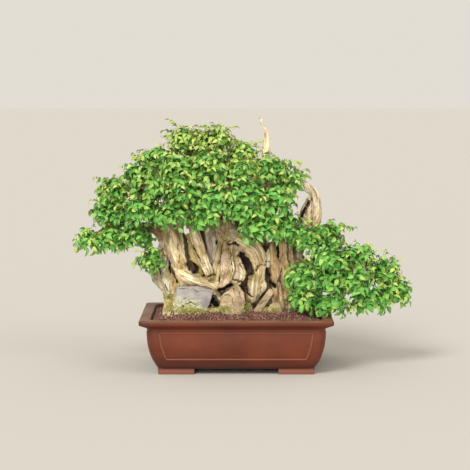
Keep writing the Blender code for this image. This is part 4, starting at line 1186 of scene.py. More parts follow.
def paint(points, strands, coordinates, carved, checks, cracks, hollow):
    """The wood's colour at each point."""
    tones = [[paint_colour(code) for code in WOOD_COLOURS[kind]] for kind in woods]
    colours = np.zeros((len(points), 4))
    colours[:, 3] = 1.0
    for i, spot in enumerate(coordinates):
        light, dark = tones[strands[i]]
        kind = woods[strands[i]]
        place = Vector(points[i])
        patch = 0.42 + 0.9 * noise.noise(along_grain(spot, 60, 9)) + 0.5 * noise.noise(place * 42)
        colour = light + (dark - light) * limited(patch)
        if kind in STAINED:
            stain = noise.noise(place * 28 + Vector((3.1, 0.0, 7.7)))
            colour = colour + (OLIVE_STAIN - colour) * limited((stain - 0.12) * 2.6, 0.0, 0.55)
        if kind in LICHENED:
            low = limited((LICHEN_TOP - place.z) / LICHEN_FADE)
            share = limited((noise.noise(place * 75) + 0.25) * 1.3, 0.0, 0.6) * low
            colour = colour + (LICHEN - colour) * share
        # Painted highlight on the ridges and painted shade in the furrows, by the carved depth.
        colour = colour * (1.14 + 0.09 * limited(carved[i] / MM, -3.0, 2.0))
        # Painted shade: the checks, the plate edges and the grooves are painted darker brown.
        colour = colour + (CHECK_SHADE - colour) * min(1.0, 0.65 * checks[i])
        # Painted shade: the hollows and the large cracks are painted nearly black.
        depth = max(limited((hollow[i] - HOLLOW_DARK_FROM) * 2.9), min(1.0, 1.25 * cracks[i]))
        colours[i, :3] = np.minimum(colour + (PAINTED_SHADE - colour) * depth, 0.95)
    return colours


stump_colours = paint(stump_points, strand_of, grain, carved, checks, in_crack, hollow)
tint = stump_mesh.attributes.new("tint", "FLOAT_COLOR", "POINT")
tint.data.foreach_set("color", stump_colours.ravel())
store_vectors(stump_mesh, "grain", grain)
print("painted", len(stump_colours), "points")

# %% [markdown]
# ## Fine grain
#
# Below a few millimetres the shader takes over. It reads the grain coordinates, so the fibres run
# along every strand and turn with it: bright and dark fibres, thin splits, and a bump for both.
# Object coordinates would draw straight lines through the curved wood.

# %% Finish of the wood
wood, wood_shader = new_finish("weathered_wood", 0.78, 0.25)
wood_grain = stored(wood, "grain", "Vector")
fibre = mottle(wood, stretched(wood, wood_grain, 1.0, 1.0, 0.05), 620.0, 4.0, 0.65)
band = mottle(wood, stretched(wood, wood_grain, 1.0, 1.0, 0.045), 210.0, 3.0, 0.6)
split_noise = mottle(wood, stretched(wood, wood_grain, 1.0, 1.0, 0.035), 330.0, 2.0)
thin_split = between(wood, split_noise, 0.62, 0.70)
crumb = mottle(wood, place_on_piece(wood), 900.0, 3.0)
fibre_shade = two_tones(wood, fibre, 0.32, 0.62, "cdb89e", "ffffff")
band_shade = two_tones(wood, band, 0.36, 0.60, "decfba", "ffffff")
wood_colour = mixed(wood, 1.0, stored(wood, "tint", "Color"), fibre_shade, "MULTIPLY")
wood_colour = mixed(wood, 1.0, wood_colour, band_shade, "MULTIPLY")
# Painted shade: the thin splits are painted dark.
wood_colour = layered(wood, wood_colour, (times(wood, thin_split, 0.35), "4a3524"))
wood_bump = relief(wood, fibre, 0.0007)
wood_bump = relief(wood, times(wood, thin_split, -1.0), 0.0009, wood_bump)
wood_bump = relief(wood, crumb, 0.0004, wood_bump)
wire(wood, wood_shader, Base_Color=wood_colour, Normal=wood_bump)

link_piece("stump", stump_mesh, wood, ["tree"])

# %% [markdown]
# ## Stones
#
# The four stones are broken rock. Their solids in the frame are hulls with a few flat faces, which
# is right for the form. A copy is remeshed finely, and noise that is flat in places and steep
# between them breaks the faces into ledges and chips.

# %% List the stones, their cracks and the slab's lichen
STONES = {
    # How deep the ledges and the crumbs are, in millimetres, and which way the beds lie.
    "stone_grey_slab": (1.2, 0.7, (0.15, 0.3, 1.0), "slate"),
    "stone_pale": (4.2, 0.9, (0.75, 0.2, 0.6), "ochre_stone"),
    "stone_oblong": (1.0, 0.5, (0.6, 0.1, -0.8), "ochre_stone"),
    "stone_small": (1.5, 0.8, (0.1, 0.2, 1.0), "ochre_stone"),
}
STONE_CRACKS = {
    "pale upright": ([(-8, 214), (-5, 199), (-12, 184), (-4, 168)], 1.8, 4),
    "pale across": ([(-40, 189), (-24, 196), (-7, 192)], 1.6, 3),
    "pale side": ([(7, 205), (12, 190), (20, 176)], 2.2, 4),
    "slab edge": ([(-150, 214), (-120, 211), (-92, 206), (-66, 202)], 1.5, 2),
    "slab lump": ([(-146, 178), (-131, 172), (-119, 178), (-104, 168)], 2.0, 4),
    "slab lump low": ([(-152, 160), (-138, 164), (-122, 158)], 2.0, 4),
    "oblong": ([(62, 172), (78, 181)], 1.4, 2),
}
# The slab's lichen lies below a line that is level at first and then falls to the right.
CRUST_TOP = 0.193
CRUST_TURN = POT_MIDDLE.x - 0.116
CRUST_SLOPE = 0.85
CRUST_DEEP = 3.6
print(len(STONES), "stones with", len(STONE_CRACKS), "cracks")


# %% Break the stones
STONE_VOXEL = 0.0016
BEDS_PER_METRE = 90
DOUBLES = 0.00002


def crust_share(place):
    """How fully lichen covers a place on the slab, from 0 to 1."""
    under = CRUST_TOP - CRUST_SLOPE * max(0.0, place.x - CRUST_TURN) - place.z
    return limited(under / 0.012 + 0.5)


def stone_skin(name):
    """A fine even skin over a frame's stone, whose loose triangles are joined first."""
    bm = bmesh.new()
    bm.from_mesh(frame["nodes"][name].data)
    bmesh.ops.remove_doubles(bm, verts=bm.verts, dist=DOUBLES)
    mesh = mesh_from(bm, name + "_rock")
    mesh = through_modifier(mesh, "REMESH", mode="VOXEL", voxel_size=STONE_VOXEL)
    smoothed(mesh, 3)
    return mesh


def break_stone(name, mesh, ledge, crumbs, bed):
    """Move the skin in to ledges and chips, and out to crumbs and lichen."""
    points = read_points(mesh)
    normals = read_normals(mesh)
    bed = Vector(bed).normalized()
    moved = np.zeros(len(points))
    for i, point in enumerate(points):
        place = Vector(point)
        height = place.dot(bed) * BEDS_PER_METRE + 1.6 * noise.noise(place * 22)
        step = height - math.floor(height)
        broken = noise.cell(Vector((math.floor(height), 0.5, 0.5)) + place * 9)
        chip = noise.noise(place * 45)
        crumb = noise.noise(place * 210)
        moved[i] = -ledge * (0.5 * step * (0.4 + broken) + max(0.0, chip)) + crumbs * crumb
        if name == "stone_grey_slab":
            lump = noise.noise(place * 75) + 0.6 * noise.noise(place * 170)
            moved[i] += CRUST_DEEP * crust_share(place) * lump
    write_points(mesh, points + normals * (moved * MM)[:, None])


def crack_stone(mesh):
    """Sink the cracks that cross a stone, and store how deep in one each point lies."""
    points = read_points(mesh)
    share, back = crack_shares(points, read_normals(mesh), STONE_CRACKS)
    points[:, 1] += back
    write_points(mesh, points)
    store_numbers(mesh, "crack", share)


stone_meshes = {}
for name, (ledge, crumbs, bed, _) in STONES.items():
    stone_meshes[name] = stone_skin(name)
    break_stone(name, stone_meshes[name], ledge, crumbs, bed)
    crack_stone(stone_meshes[name])
    print(name, len(stone_meshes[name].vertices), "points")

# %% [markdown]
# ## Finishes of the stones
#
# The slab is grey with a lilac cast and a paler top, and its lower half is crusted with white and
# yellow-green lichen, with painted shade in the crevices between the crusts. The others are ochre stone,
# pale where they broke, with rust streaks, and darker towards the bottom. On all of them the cracks are
# painted dark as painted shade.

# %% Finish of the slab
slate, slate_shader = new_finish("grey_slab", 0.85, 0.25)
slate_at = place_on_piece(slate)
slate_across, _, slate_height = parts_of(slate, slate_at)
slate_patch = mottle(slate, slate_at, 34.0, 5.0)
slate_fine = mottle(slate, stretched(slate, slate_at, 1.0, 1.0, 3.0), 260.0, 4.0)
crust = mottle(slate, slate_at, 110.0, 4.0, 0.6)
yellow = mottle(slate, slate_at, 170.0, 3.0)
past_turn = worked_out(slate, "SUBTRACT", slate_across, CRUST_TURN)
past_turn = worked_out(slate, "MAXIMUM", past_turn)
line_height = worked_out(slate, "ADD", slate_height, times(slate, past_turn, CRUST_SLOPE))
low_share = between(slate, worked_out(slate, "SUBTRACT", line_height, CRUST_TOP), 0.006, -0.008)
crusted = times(slate, between(slate, crust, 0.38, 0.50), low_share)
# Painted shade: the crevices between the lichen crusts are painted dark.
crevice_shade_share = times(slate, between(slate, crust, 0.43, 0.36), low_share)
yellow_share = times(slate, between(slate, yellow, 0.55, 0.66), low_share)
# Painted shade: the slab's cracks are painted dark.
crack_shade_share = times(slate, stored(slate, "crack"), 0.85)
slate_colour = layered(slate, two_tones(slate, slate_patch, 0.32, 0.68, "827c77", "a8a199"),
                       (between(slate, slate_fine, 0.5, 0.75, 0.0, 0.5), "6d635a"),
                       (crusted, "b4b294"), (crevice_shade_share, "453a2b"),
                       (yellow_share, "98994f"), (crack_shade_share, "2c231a"))
slate_bump = relief(slate, slate_fine, 0.0006)
slate_bump = relief(slate, crusted, 0.0012, slate_bump)
wire(slate, slate_shader, Base_Color=slate_colour, Normal=slate_bump)

# %% Finish of the ochre stones
ochre, ochre_shader = new_finish("ochre_stone", 0.85, 0.25)
ochre_at = place_on_piece(ochre)
ochre_height = parts_of(ochre, ochre_at)[2]
ochre_patch = mottle(ochre, ochre_at, 42.0, 4.0)
rust = mottle(ochre, stretched(ochre, ochre_at, 1.0, 1.0, 2.2), 70.0, 4.0, 0.6, 0.8)
dark_fleck = mottle(ochre, ochre_at, 420.0, 3.0)
# Darker towards the bottom of the stones.
lower_darkening = times(ochre, between(ochre, ochre_height, 0.178, 0.152),
             between(ochre, ochre_patch, 0.35, 0.6))
# Painted shade: the cracks of the ochre stones are painted dark.
crack_shade_share = times(ochre, stored(ochre, "crack"), 0.8)
ochre_colour = layered(ochre, two_tones(ochre, ochre_patch, 0.35, 0.65, "88765a", "baa684"),
                       (between(ochre, rust, 0.56, 0.68, 0.0, 0.6), "8f6335"),
                       (between(ochre, dark_fleck, 0.58, 0.74, 0.0, 0.5), "6b5638"),
                       (times(ochre, lower_darkening, 0.7), "6f6540"), (crack_shade_share, "3d2b1a"))
ochre_bump = relief(ochre, dark_fleck, 0.0007)
ochre_bump = relief(ochre, rust, 0.0010, ochre_bump)
wire(ochre, ochre_shader, Base_Color=ochre_colour, Normal=ochre_bump)

# %% Put the stones in
stone_finishes = {"slate": slate, "ochre_stone": ochre}
for name, (_, _, _, slot) in STONES.items():
    link_piece(name + "_rock", stone_meshes[name], stone_finishes[slot], [name])
print("stones stand on the soil")

# %% [markdown]
# ## Soil
#
# The pot is filled with fired clay granules of 3 to 6 mm, reddish and pinkish brown. The frame's
# soil has the right form, so it stays as the ground under them and gets a dark finish. The
# granules that show are real shapes: jittered twenty-sided solids, dropped by rays onto the soil,
# and left out where a root or a stone stands.

# %% Finish of the soil
soil, soil_shader = new_finish("soil", 0.95, 0.2)
soil_at = place_on_piece(soil)
soil_colour = two_tones(soil, mottle(soil, soil_at, 300.0, 4.0), 0.35, 0.65, "3a241d", "6d4436")
soil_bump = relief(soil, mottle(soil, soil_at, 350.0), 0.002)
wire(soil, soil_shader, Base_Color=soil_colour, Normal=soil_bump)
finish_node("soil", soil)

grit, grit_shader = new_finish("fired_clay_grit", 0.92, 0.2)
grit_shade = stored(grit, "shade")
grit_fine = mottle(grit, place_on_piece(grit), 900.0, 3.0)
grit_colour = layered(grit, two_tones(grit, grit_shade, 0.0, 0.5, "472f27", "795447"),
                      (between(grit, grit_shade, 0.5, 1.0), "a17a69"),
                      (between(grit, grit_fine, 0.35, 0.65, 0.0, 0.3), "3d251e"))
wire(grit, grit_shader, Base_Color=grit_colour, Normal=relief(grit, grit_fine, 0.0005))

# %% Scatter the granules
GRIT_SPACING = 0.0043
GRIT_RADIUS = (0.0016, 0.0031)
GRIT_SHAPES = 5
SOIL_FALL = 0.024


def granule(seed):
    draw = random.Random(seed)
    bm = bmesh.new()
    bmesh.ops.create_icosphere(bm, subdivisions=1, radius=1.0)
    for vert in bm.verts:
        vert.co *= draw.uniform(0.72, 1.18)
    return template_arrays(bm)


def random_turn(draw):
    turn = Matrix.Rotation(draw.uniform(0, math.tau), 4, "Z")
    turn = turn @ Matrix.Rotation(draw.uniform(0, math.tau), 4, "X")
    return turn @ Matrix.Rotation(draw.uniform(0, math.tau), 4, "Y")


ground = tree_over([frame["nodes"]["soil"].data])
standing = tree_over([stump_mesh] + list(stone_meshes.values()))
soil_low, soil_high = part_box("soil")


def on_the_soil(x, y):
    """The soil's top at a place, or None under a root or a stone."""
    spot = ground.ray_cast(Vector((x, y, soil_high.z + 0.05)), -UP)[0]
    if spot is None or spot.z < soil_high.z - SOIL_FALL:
        return None
    return spot


def scatter_granules(draw):
    """Granule places: one near each crossing of a fine net, where the soil lies open."""
    places = []
    rows = int((soil_high.y - soil_low.y) / GRIT_SPACING)
    columns = int((soil_high.x - soil_low.x) / GRIT_SPACING)
    for row, column in itertools.product(range(rows), range(columns)):
        x = soil_low.x + (column + 0.5 + draw.uniform(-0.5, 0.5)) * GRIT_SPACING
        y = soil_low.y + (row + 0.5 + draw.uniform(-0.5, 0.5)) * GRIT_SPACING
        radius = draw.uniform(*GRIT_RADIUS)
        spot = on_the_soil(x, y)
        if spot is None:
            continue
        spot = spot + UP * (radius * draw.uniform(0.1, 0.7))
        near, outward, _, distance = standing.find_nearest(spot, 0.02)
        if near is not None and (distance < radius or (spot - near).dot(outward) < 0):
            continue
        matrix = Matrix.Translation(spot) @ random_turn(draw) @ Matrix.Scale(radius, 4)
        places.append((draw.randrange(GRIT_SHAPES), matrix, {"shade": draw.random()}))
    return places


granules = scatter_granules(random.Random(31))
grit_shapes = [granule(seed) for seed in range(GRIT_SHAPES)]
grit_mesh = copies_mesh("soil_granules", grit_shapes, granules)
link_piece("soil_granules", grit_mesh, grit, smooth=False)
print(len(granules), "granules")

# %% [markdown]
# ## Moss
#
# Dry straw-coloured moss has grown round the left foot of the stump, and green moss along the feet
# of the stones. Each tuft is a cloud of short blades that the camera's rays set on whatever stands
# there. The places are marks like those of the cracks.

# %% Grow the moss
MOSS = [
    # Middle across and up, spread across and up, number of blades, how straw-coloured.
    (-177, 166, 13, 22, 1300, 0.85), (-177, 190, 9, 7, 300, 0.35), (-135, 154, 24, 8, 420, 0.5),
    (-100, 152, 18, 6, 360, 0.45), (-62, 154, 18, 4, 260, 0.5), (-32, 158, 14, 6, 260, 0.45),
    (30, 162, 12, 9, 260, 0.4), (75, 156, 10, 4, 120, 0.4), (100, 157, 16, 5, 220, 0.55),
]
MOSS_LENGTH = (0.0040, 0.0100)
MOSS_BACK_LIMIT = 0.03
moss, moss_shader = new_finish("moss", 0.9, 0.1)
moss_shade = stored(moss, "shade")
moss_colour = layered(moss, two_tones(moss, moss_shade, 0.0, 0.5, "6f7d34", "bdb96c"),
                      (between(moss, moss_shade, 0.5, 1.0), "e2d29e"))
wire(moss, moss_shader, Base_Color=moss_colour)


def moss_blade():
    """A thin three-sided spike of length 1 along +Z."""
    bm = bmesh.new()
    bmesh.ops.create_cone(bm, cap_ends=True, segments=3, radius1=0.16, radius2=0.02, depth=1.0,
                          matrix=Matrix.Translation((0, 0, 0.4)))
    return template_arrays(bm)


def moss_places(draw):
    """Places of the blades, on whatever the camera's rays through the marks meet."""
    front_side = tree_over([stump_mesh, frame["nodes"]["soil"].data] + list(stone_meshes.values()))
    places = []
    for across, up, wide, tall, count, straw in MOSS:
        for _ in range(count):
            start, look = ray_to_mark(draw.gauss(across, wide / 2), draw.gauss(up, tall / 2))
            spot, normal = front_side.ray_cast(start, look)[:2]
            if spot is None or spot.y > POT_MIDDLE.y - MOSS_BACK_LIMIT:
                continue
            way = normal * 0.7 + UP * 0.6 + Vector([draw.gauss(0, 0.45) for _ in range(3)])
            turn = UP.rotation_difference(way.normalized()).to_matrix().to_4x4()
            matrix = Matrix.Translation(spot) @ turn @ Matrix.Scale(draw.uniform(*MOSS_LENGTH), 4)
            places.append((0, matrix, {"shade": limited(draw.gauss(straw, 0.22))}))
    return places


moss_spots = moss_places(random.Random(47))
moss_mesh = copies_mesh("moss_tufts", [moss_blade()], moss_spots)
link_piece("moss_tufts", moss_mesh, moss, smooth=False)
print(len(moss_spots), "blades of moss")

# %% [markdown]
# ## One leaf
#
# A crepe myrtle leaf is oval with a short point, folded a little along its midrib and drooping at
# its tip. It starts as a small grid. The grid's points are drawn in to the leaf's outline, folded,
# bent and waved. A copy, turned over and lowered a little inside, closes it from below, so that a
# leaf is a thin solid with few faces. Each point stores where it lies on the blade, so that the
# shader can draw the midrib and the side veins, and make the underside paler.

# %% Model the leaf
LEAF_WIDTH_SHARE = 0.64
LEAF_BODY = 0.016
LEAF_ROWS = 5


def leaf_outline(share):
    """Half the leaf's width at a share of its length, as a share of the widest."""
    return math.sin(math.pi * share ** 0.82) ** 0.85 * (1 - 0.25 * share)


def leaf_template(fold, droop, sway, wave):
    """A leaf of length 1 along +Y, its face up: two blades that meet along the edge."""
    bm = bmesh.new()
    bmesh.ops.create_grid(bm, x_segments=2, y_segments=LEAF_ROWS, size=0.5)
    blade = bm.verts.layers.float_vector.new("blade")
    for vert in bm.verts:
        share = vert.co.y + 0.5
        across = vert.co.x * 2 if 0.01 < share < 0.99 else 0.0
        vert[blade] = (across, share, 0.0)
        half = LEAF_WIDTH_SHARE / 2 * leaf_outline(limited(share, 0.001, 0.999))
        lift = fold * abs(across) * half * 2 + wave * math.sin(share * 11 + across * 2) * abs(across)
        vert.co = Vector((across * half + sway * share * share, share,
                          lift + 0.10 * math.sin(math.pi * share) - droop * share * share))
    bmesh.ops.recalc_face_normals(bm, faces=bm.faces)
    if sum(face.normal.z for face in bm.faces) < 0:
        bmesh.ops.reverse_faces(bm, faces=bm.faces)
    copied = bmesh.ops.duplicate(bm, geom=list(bm.faces))["geom"]
    under = [item for item in copied if isinstance(item, bmesh.types.BMFace)]
    bmesh.ops.reverse_faces(bm, faces=under)
    for vert in {vert for face in under for vert in face.verts if not vert.is_boundary}:
        vert.co.z -= LEAF_BODY
        vert[blade] = (0.0, vert[blade].y, 1.0)
    bmesh.ops.remove_doubles(bm, verts=bm.verts, dist=LEAF_BODY / 2)
    return template_arrays(bm)


LEAF_TEMPLATES = [leaf_template(0.26, 0.12, 0.03, 0.010), leaf_template(0.18, 0.24, -0.05, 0.016),
                  leaf_template(0.36, 0.06, 0.06, 0.012), leaf_template(0.12, 0.34, 0.02, 0.020)]
print("a leaf has", len(LEAF_TEMPLATES[0][1]), "triangles")

# %% [markdown]
# ## Leaf finish
#
# Old leaves are a glossy middle green, new ones yellow-green with an orange edge. Two marks on each
# leaf drive that: its age, and a hue of its own. The blade coordinates draw a pale midrib and faint
# side veins, and the underside is paler.

# %% Finish of the leaves
leaf, leaf_shader = new_finish("leaf", 0.30, 0.5)
leaf_age = stored(leaf, "age")
leaf_hue = stored(leaf, "hue")
across_blade, along_blade, underside = parts_of(leaf, stored(leaf, "blade", "Vector"))
off_rib = worked_out(leaf, "ABSOLUTE", across_blade)
vein_way = worked_out(leaf, "SUBTRACT", times(leaf, along_blade, 46.0), times(leaf, off_rib, 9.0))
vein = worked_out(leaf, "SINE", vein_way)
leaf_patch = mottle(leaf, place_on_piece(leaf), 60.0, 2.0)
grown_colour = mixed(leaf, leaf_hue, linear("39892e"), linear("77ba4a"))
young_colour = mixed(leaf, leaf_hue, linear("8fc24a"), linear("c0d470"))
edge_share = times(leaf, between(leaf, off_rib, 0.55, 1.0), between(leaf, leaf_age, 0.45, 0.1))
rib_share = between(leaf, off_rib, 0.12, 0.02)
leaf_colour = mixed(leaf, between(leaf, leaf_age, 0.0, 0.60), young_colour, grown_colour)
leaf_colour = layered(leaf, leaf_colour,
                      (times(leaf, edge_share, 0.7), "cb8a45"),
                      (times(leaf, rib_share, 0.5), "b9cf7c"),
                      (between(leaf, vein, 0.75, 1.0, 0.0, 0.28), "86ab55"),
                      (between(leaf, leaf_patch, 0.40, 0.70, 0.0, 0.15), "6aa33a"),
                      (times(leaf, underside, 0.65), "9ab877"))
wire(leaf, leaf_shader, Base_Color=leaf_colour, Normal=relief(leaf, vein, 0.00025))

# %% [markdown]
# ## Twigs and shoots
#
# Each spray hangs on one twig from its limb. From the twig, thin shoots arch up and out to all
# sides and droop at their tips, and the leaves stand along them by turns left and right. The
# spray's place and size come from the frame's node of the same name, and the limb is the one that
# carries that node.

# %% Which limb carries which spray
SPRAYS_OF_LIMB = {
    "left crown": "crown_peak_left crown_back_top crown_left crown_front_left front_left front_centre "
                  "low_centre_left",
    "right crown": "crown_peak_right crown_right crown_front_right front_mid low_centre",
    "gap": "crown_centre_right shoulder_right front_right low_centre_right",
    "right low": "edge_right side_right hang_right hang_far_right",
    "left upper": "shoulder_left upper_left low_left back_left_low",
    "left": "mid_left left_inner left_outer left_tip left_sprig",
    "back left": "back_left back_crown_left",
    "back right": "back_crown_right back_centre_low",
    "back far right": "back_right back_right_low",
    "cascade upper": "cascade_top cascade_inner cascade_mid cascade_back",
    "cascade": "cascade_front_top cascade_front cascade_centre cascade_out cascade_tip "
               "cascade_low_front cascade_base cascade_drop cascade_under",
}
limb_of = {spray: limb for limb, names in SPRAYS_OF_LIMB.items() for spray in names.split()}
assert len(limb_of) == sum(name.startswith("spray_") for name in frame["nodes"])
print(len(limb_of), "sprays on", len(SPRAYS_OF_LIMB), "limbs")


def bezier(start, middle, end, count):
    """Points on a curve from start to end, pulled towards a middle point."""
    shares = [k / count for k in range(count + 1)]
    return [start * (1 - t) ** 2 + middle * (2 * t * (1 - t)) + end * t ** 2 for t in shares]


def twig_tube(bm, points, first_radius, last_radius, sides, young=0.0):
    """Add a thin tapered tube to a bmesh, grown by extruding one face, younger to its end."""
    age_layer = bm.verts.layers.float.get("young") or bm.verts.layers.float.new("young")
    rows = np.array([list(point) for point in points])
    _, side_ways, fronts = line_frames(rows)
    face = bm.faces.new([bm.verts.new() for _ in range(sides)])
    for i, row in enumerate(rows):
        if i:
            face = bmesh.ops.extrude_discrete_faces(bm, faces=[face])["faces"][0]
        radius = first_radius + (last_radius - first_radius) * i / (len(rows) - 1)
        for k, vert in enumerate(face.verts):
            angle = math.tau * k / sides
            out = side_ways[i] * math.cos(angle) + fronts[i] * math.sin(angle)
            vert.co = Vector(row + out * radius)
            vert[age_layer] = young * i / (len(rows) - 1)


# %% [markdown]
# ## Growing a spray
#
# The tips of the shoots are spread evenly over an oval ball of the spray's size, but for its very
# underside. About a third of those that reach up or out are long young ones, and hanging sprays
# reach further down. The leaves hang like shingles: each one turns its face up and out, and its
# tip down. Leaves near a tip are young, and so are more of those high up on the tree.

# %% Grow one spray
SHOOT_AREA = 0.00054
LEAF_EVERY = 0.0078
LONG_SHOOTS = 0.32
SHORT_REACH = (0.72, 1.06)
LONG_REACH = (1.15, 1.50)
LONG_FROM = 1.1
HANGING_REACH = (0.90, 1.30)
SHORT_RISE = (0.10, 0.30)
LONG_RISE = (0.22, 0.42)
HANGING = ("low_centre_left", "low_centre", "cascade_drop", "cascade_under", "left_tip", "hang_right")
BOX_MARGIN = 0.012
LEAF_LENGTH = (0.018, 0.028)
BARE_SHARE = 0.22
BRIGHT_FROM = 0.45
BRIGHT_RISE = 3.0
SHOOT_RADIUS = (0.0011, 0.0005)
FEWEST_SHOOTS = 9
TIP_LENGTH = 0.026
# How a leaf stands on its shoot: shares of the ways that its face and its tip follow, and spreads.
FACE_OUT = 0.75
FACE_UP = 0.50
FACE_LEAN = (0.40, 0.40, 0.25)
TIP_ALONG = 0.45
TIP_SIDEWAYS = 0.85
TIP_HANGS = 0.60
LEAF_ROLL = 0.45


def spray_region(name):
    """The middle and the half sizes of a spray's node."""
    low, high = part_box("spray_" + name)
    return (low + high) / 2, (high - low) / 2


def twig_points(name, middle, half):
    """From the limb up in a low bow to the spray's middle."""
    centres = [Vector(row[:3]) for row in lines["limb " + limb_of[name]][1]]
    reach = min(half) * 0.8
    usable = [centre for centre in centres if (centre - middle).length > reach] or centres
    start = min(usable, key=lambda centre: (centre - middle).length)
    bend = start.lerp(middle, 0.5) + UP * 0.14 * (middle - start).length
    return bezier(start, bend, middle, 7)


def leaf_place(root, way, outward, side, draw, length):
    """A matrix that stands a leaf on a shoot: +Y of the leaf runs out, +Z faces up and out."""
    lean = Vector([draw.gauss(0, spread) for spread in FACE_LEAN])
    face = (outward * FACE_OUT + UP * FACE_UP + lean).normalized()
    out = way * TIP_ALONG + side * TIP_SIDEWAYS - UP * draw.uniform(0.0, TIP_HANGS)
    out = (out - face * out.dot(face)).normalized()
    across = out.cross(face)
    roll = Matrix.Rotation(draw.gauss(0, LEAF_ROLL), 3, out)
    turn = roll @ Matrix((across, out, face)).transposed()
    return Matrix.Translation(root) @ turn.to_4x4() @ Matrix.Scale(length, 4)


def inside_box(tip):
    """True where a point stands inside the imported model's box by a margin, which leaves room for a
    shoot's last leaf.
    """
    return all(low + BOX_MARGIN < value < high - BOX_MARGIN
               for low, value, high in zip(cad_low, tip, cad_high))


def spray_shoots(name, middle, half, draw):
    """The spray's twig, and its shoots as (points, True for a long young one)."""
    twig = twig_points(name, middle, half)
    mean = sum(half) / 3
    count = max(FEWEST_SHOOTS, round(4 * math.pi * mean * mean / SHOOT_AREA))
    shoots = []
    for way in spread_ways(count, 1, -1.75, draw.uniform(0, math.tau)):
        size = Vector((way.x * half.x, way.y * half.y, way.z * half.z))
        reach = draw.uniform(*SHORT_REACH)
        long = way.z > -0.25 and draw.random() < LONG_SHOOTS
        if long and inside_box(middle + size * LONG_REACH[1]):
            reach = draw.uniform(*LONG_REACH)
        if name in HANGING and way.z < -0.1:
            reach = draw.uniform(*HANGING_REACH)
        tip = middle + size * reach
        base = twig[-1 - draw.randrange(3)].lerp(middle, draw.uniform(0.2, 1.0))
        base = base.lerp(tip, 0.12)
        rise = draw.uniform(*(LONG_RISE if reach > LONG_FROM else SHORT_RISE))
        arch = base.lerp(tip, 0.55) + UP * rise * (tip - base).length
        shoots.append((bezier(base, arch, tip, 6), reach > LONG_FROM and way.z > -0.1))
    return twig, shoots


def leaves_on(shoot, middle, youth, draw):
    """Leaf places along one shoot."""
    places = []
    lengths = [0.0]
    for a, b in zip(shoot, shoot[1:]):
        lengths.append(lengths[-1] + (b - a).length)
    total = lengths[-1]
    walked = total * BARE_SHARE
    hand = draw.choice((-1, 1))
    while walked < total + LEAF_EVERY * 0.5:
        spot = min(walked, total * 0.999)
        i = max(k for k in range(len(shoot) - 1) if lengths[k] <= spot)
        share = (spot - lengths[i]) / (lengths[i + 1] - lengths[i])
        root = shoot[i].lerp(shoot[i + 1], share)
        way = (shoot[i + 1] - shoot[i]).normalized()
        outward = (root - middle).normalized()
        side = way.cross(outward)
        side = (side if side.length > 0.15 else way.orthogonal()).normalized() * hand
        from_tip = (total - spot) / TIP_LENGTH
        high = max(0.0, (root.z - BRIGHT_FROM) * BRIGHT_RISE)
        age = limited(from_tip + draw.gauss(0.45, 0.13) - youth - high)
        length = draw.uniform(*LEAF_LENGTH) * (0.66 + 0.34 * age)
        if walked >= total:
            side = side * 0.1
        marks = {"age": age, "hue": draw.random()}
        places.append((draw.randrange(len(LEAF_TEMPLATES)),
                       leaf_place(root, way, outward, side, draw, length), marks))
        hand = -hand
        walked += LEAF_EVERY * draw.uniform(0.8, 1.2)
    return places


# %% [markdown]
# ## All sprays
#
# The bright sprays are those at the top of the crown and at the ends of the limbs, where the new
# growth is. Leaves that would stand inside the stump are left out, and so are those in front of
# the small windows where the left dead spike shows.

# %% Grow all sprays
bark, bark_shader = new_finish("shoot_bark", 0.6, 0.35)
bark_at = place_on_piece(bark)
bark_colour = two_tones(bark, mottle(bark, bark_at, 160.0, 4.0), 0.35, 0.65, "5b3c28", "8f6a48")
bark_colour = layered(bark, bark_colour, (stored(bark, "young"), "b8803f"))
bark_bump = relief(bark, mottle(bark, bark_at, 700.0), 0.0005)
wire(bark, bark_shader, Base_Color=bark_colour, Normal=bark_bump)

SLOT_OF = {entry["node"]: entry["material_slot"] for entry in frame["record"]["subparts"]}
YOUTH = {"leaf_bright": 0.30, "leaf_green": 0.05, "leaf_deep": 0.0}
LONG_YOUTH = 0.4
TWIG_RADIUS = (0.0034, 0.0016)
YOUNG_TIP = {True: 1.0, False: 0.45}
LEAF_CLEAR = 0.003
# Windows in the leaves: where each is seen, across and up, and its radius, in metres.
WINDOWS = np.array([(-0.251, 0.535, 0.009), (-0.242, 0.477, 0.014), (-0.246, 0.505, 0.007)])
WINDOWS_BACK_LIMIT = POT_MIDDLE.y + 0.02


def has_room(centre):
    """True for a leaf whose middle is clear of the stump and of the windows."""
    near, outward = standing.find_nearest(centre, 0.03)[:2]
    if near is not None and (centre - near).dot(outward) < LEAF_CLEAR:
        return False
    gaps = np.linalg.norm(seen_at(centre) - WINDOWS[:, :2], axis=1)
    return centre.y > WINDOWS_BACK_LIMIT or (gaps > WINDOWS[:, 2]).all()


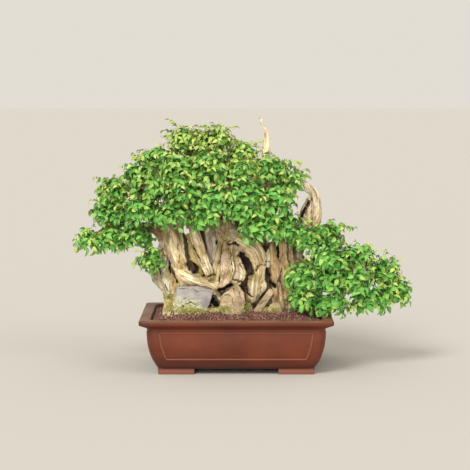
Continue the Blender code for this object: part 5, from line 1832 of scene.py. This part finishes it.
leaf_count = 0
for name in sorted(limb_of):
    draw = random.Random("spray " + name)
    middle, half = spray_region(name)
    slot = SLOT_OF["spray_" + name]
    twig, shoots = spray_shoots(name, middle, half, draw)
    stems = bmesh.new()
    twig_tube(stems, twig, *TWIG_RADIUS, 6)
    places = []
    for shoot, long in shoots:
        twig_tube(stems, shoot, *SHOOT_RADIUS, 3, YOUNG_TIP[long])
        youth = YOUTH[slot] + (LONG_YOUTH if long else 0.0)
        places += [place for place in leaves_on(shoot, middle, youth, draw)
                   if has_room(place[1] @ Vector((0, 0.5, 0)))]
    leaf_count += len(places)
    stem_mesh = mesh_from(stems, "stems")
    leaf_mesh = copies_mesh("leaves_" + name, LEAF_TEMPLATES, places)
    link_piece("twigs_" + name, stem_mesh, bark, ["spray_" + name])
    link_piece("leaves_" + name, leaf_mesh, leaf, ["spray_" + name])
    leaf_mesh.set_sharp_from_angle(angle=math.radians(60))
print(leaf_count, "leaves")

# %% [markdown]
# ## Floor and light
#
# The object stands on a plain pale floor. Three broad, far lights do the work of a studio's soft boxes: a
# key from the upper left front, a low one from the front that reaches in under the leaves, and a weaker
# fill from the right. Far lights fall evenly on the whole floor, so with a matching surround the floor
# has no visible horizon. The floor isn't part of the object.

# %% Floor, lights and surround
FLOOR_SIZE = 60.0
FLOOR_COLOUR = "bfbbb3"
SURROUND = "f3eee4"
SURROUND_STRENGTH = 0.85


def far_light(name, azimuth, elevation, power, spread):
    """A sun that shines from an azimuth, to the camera's left below 0, at an elevation."""
    light = bpy.data.lights.new(name, "SUN")
    light.energy = power
    light.angle = math.radians(spread)
    lamp = new_object(name, light)
    lamp.rotation_euler = (math.radians(90 - elevation), 0.0, math.radians(azimuth))


floor_bm = bmesh.new()
bmesh.ops.create_grid(floor_bm, x_segments=1, y_segments=1, size=FLOOR_SIZE)
floor = new_object("floor", mesh_from(floor_bm, "floor"))
floor_finish, floor_shader = new_finish("floor", 0.95, 0.0)
floor_shader.inputs["Base Color"].default_value = linear(FLOOR_COLOUR)
floor.data.materials.append(floor_finish)

far_light("key", -28, 40, 2.3, 22)
far_light("front", -6, 14, 1.3, 30)
far_light("fill", 50, 28, 0.7, 40)
world = bpy.data.worlds.new("surround")
bpy.context.scene.world = world
world.use_nodes = True
background = world.node_tree.nodes["Background"]
background.inputs["Color"].default_value = linear(SURROUND)
background.inputs["Strength"].default_value = SURROUND_STRENGTH
bpy.context.scene.view_settings.view_transform = "Standard"
print("floor, three lights and a surround of strength", SURROUND_STRENGTH)

# %% [markdown]
# ## Sizes and the end
#
# The dressed object may stand a little proud of the imported solids. The box of the imported solids is
# printed.

# %% Print the box of the imported solids
print("cad box", [round(v, 4) for v in (*cad_low, *cad_high)])
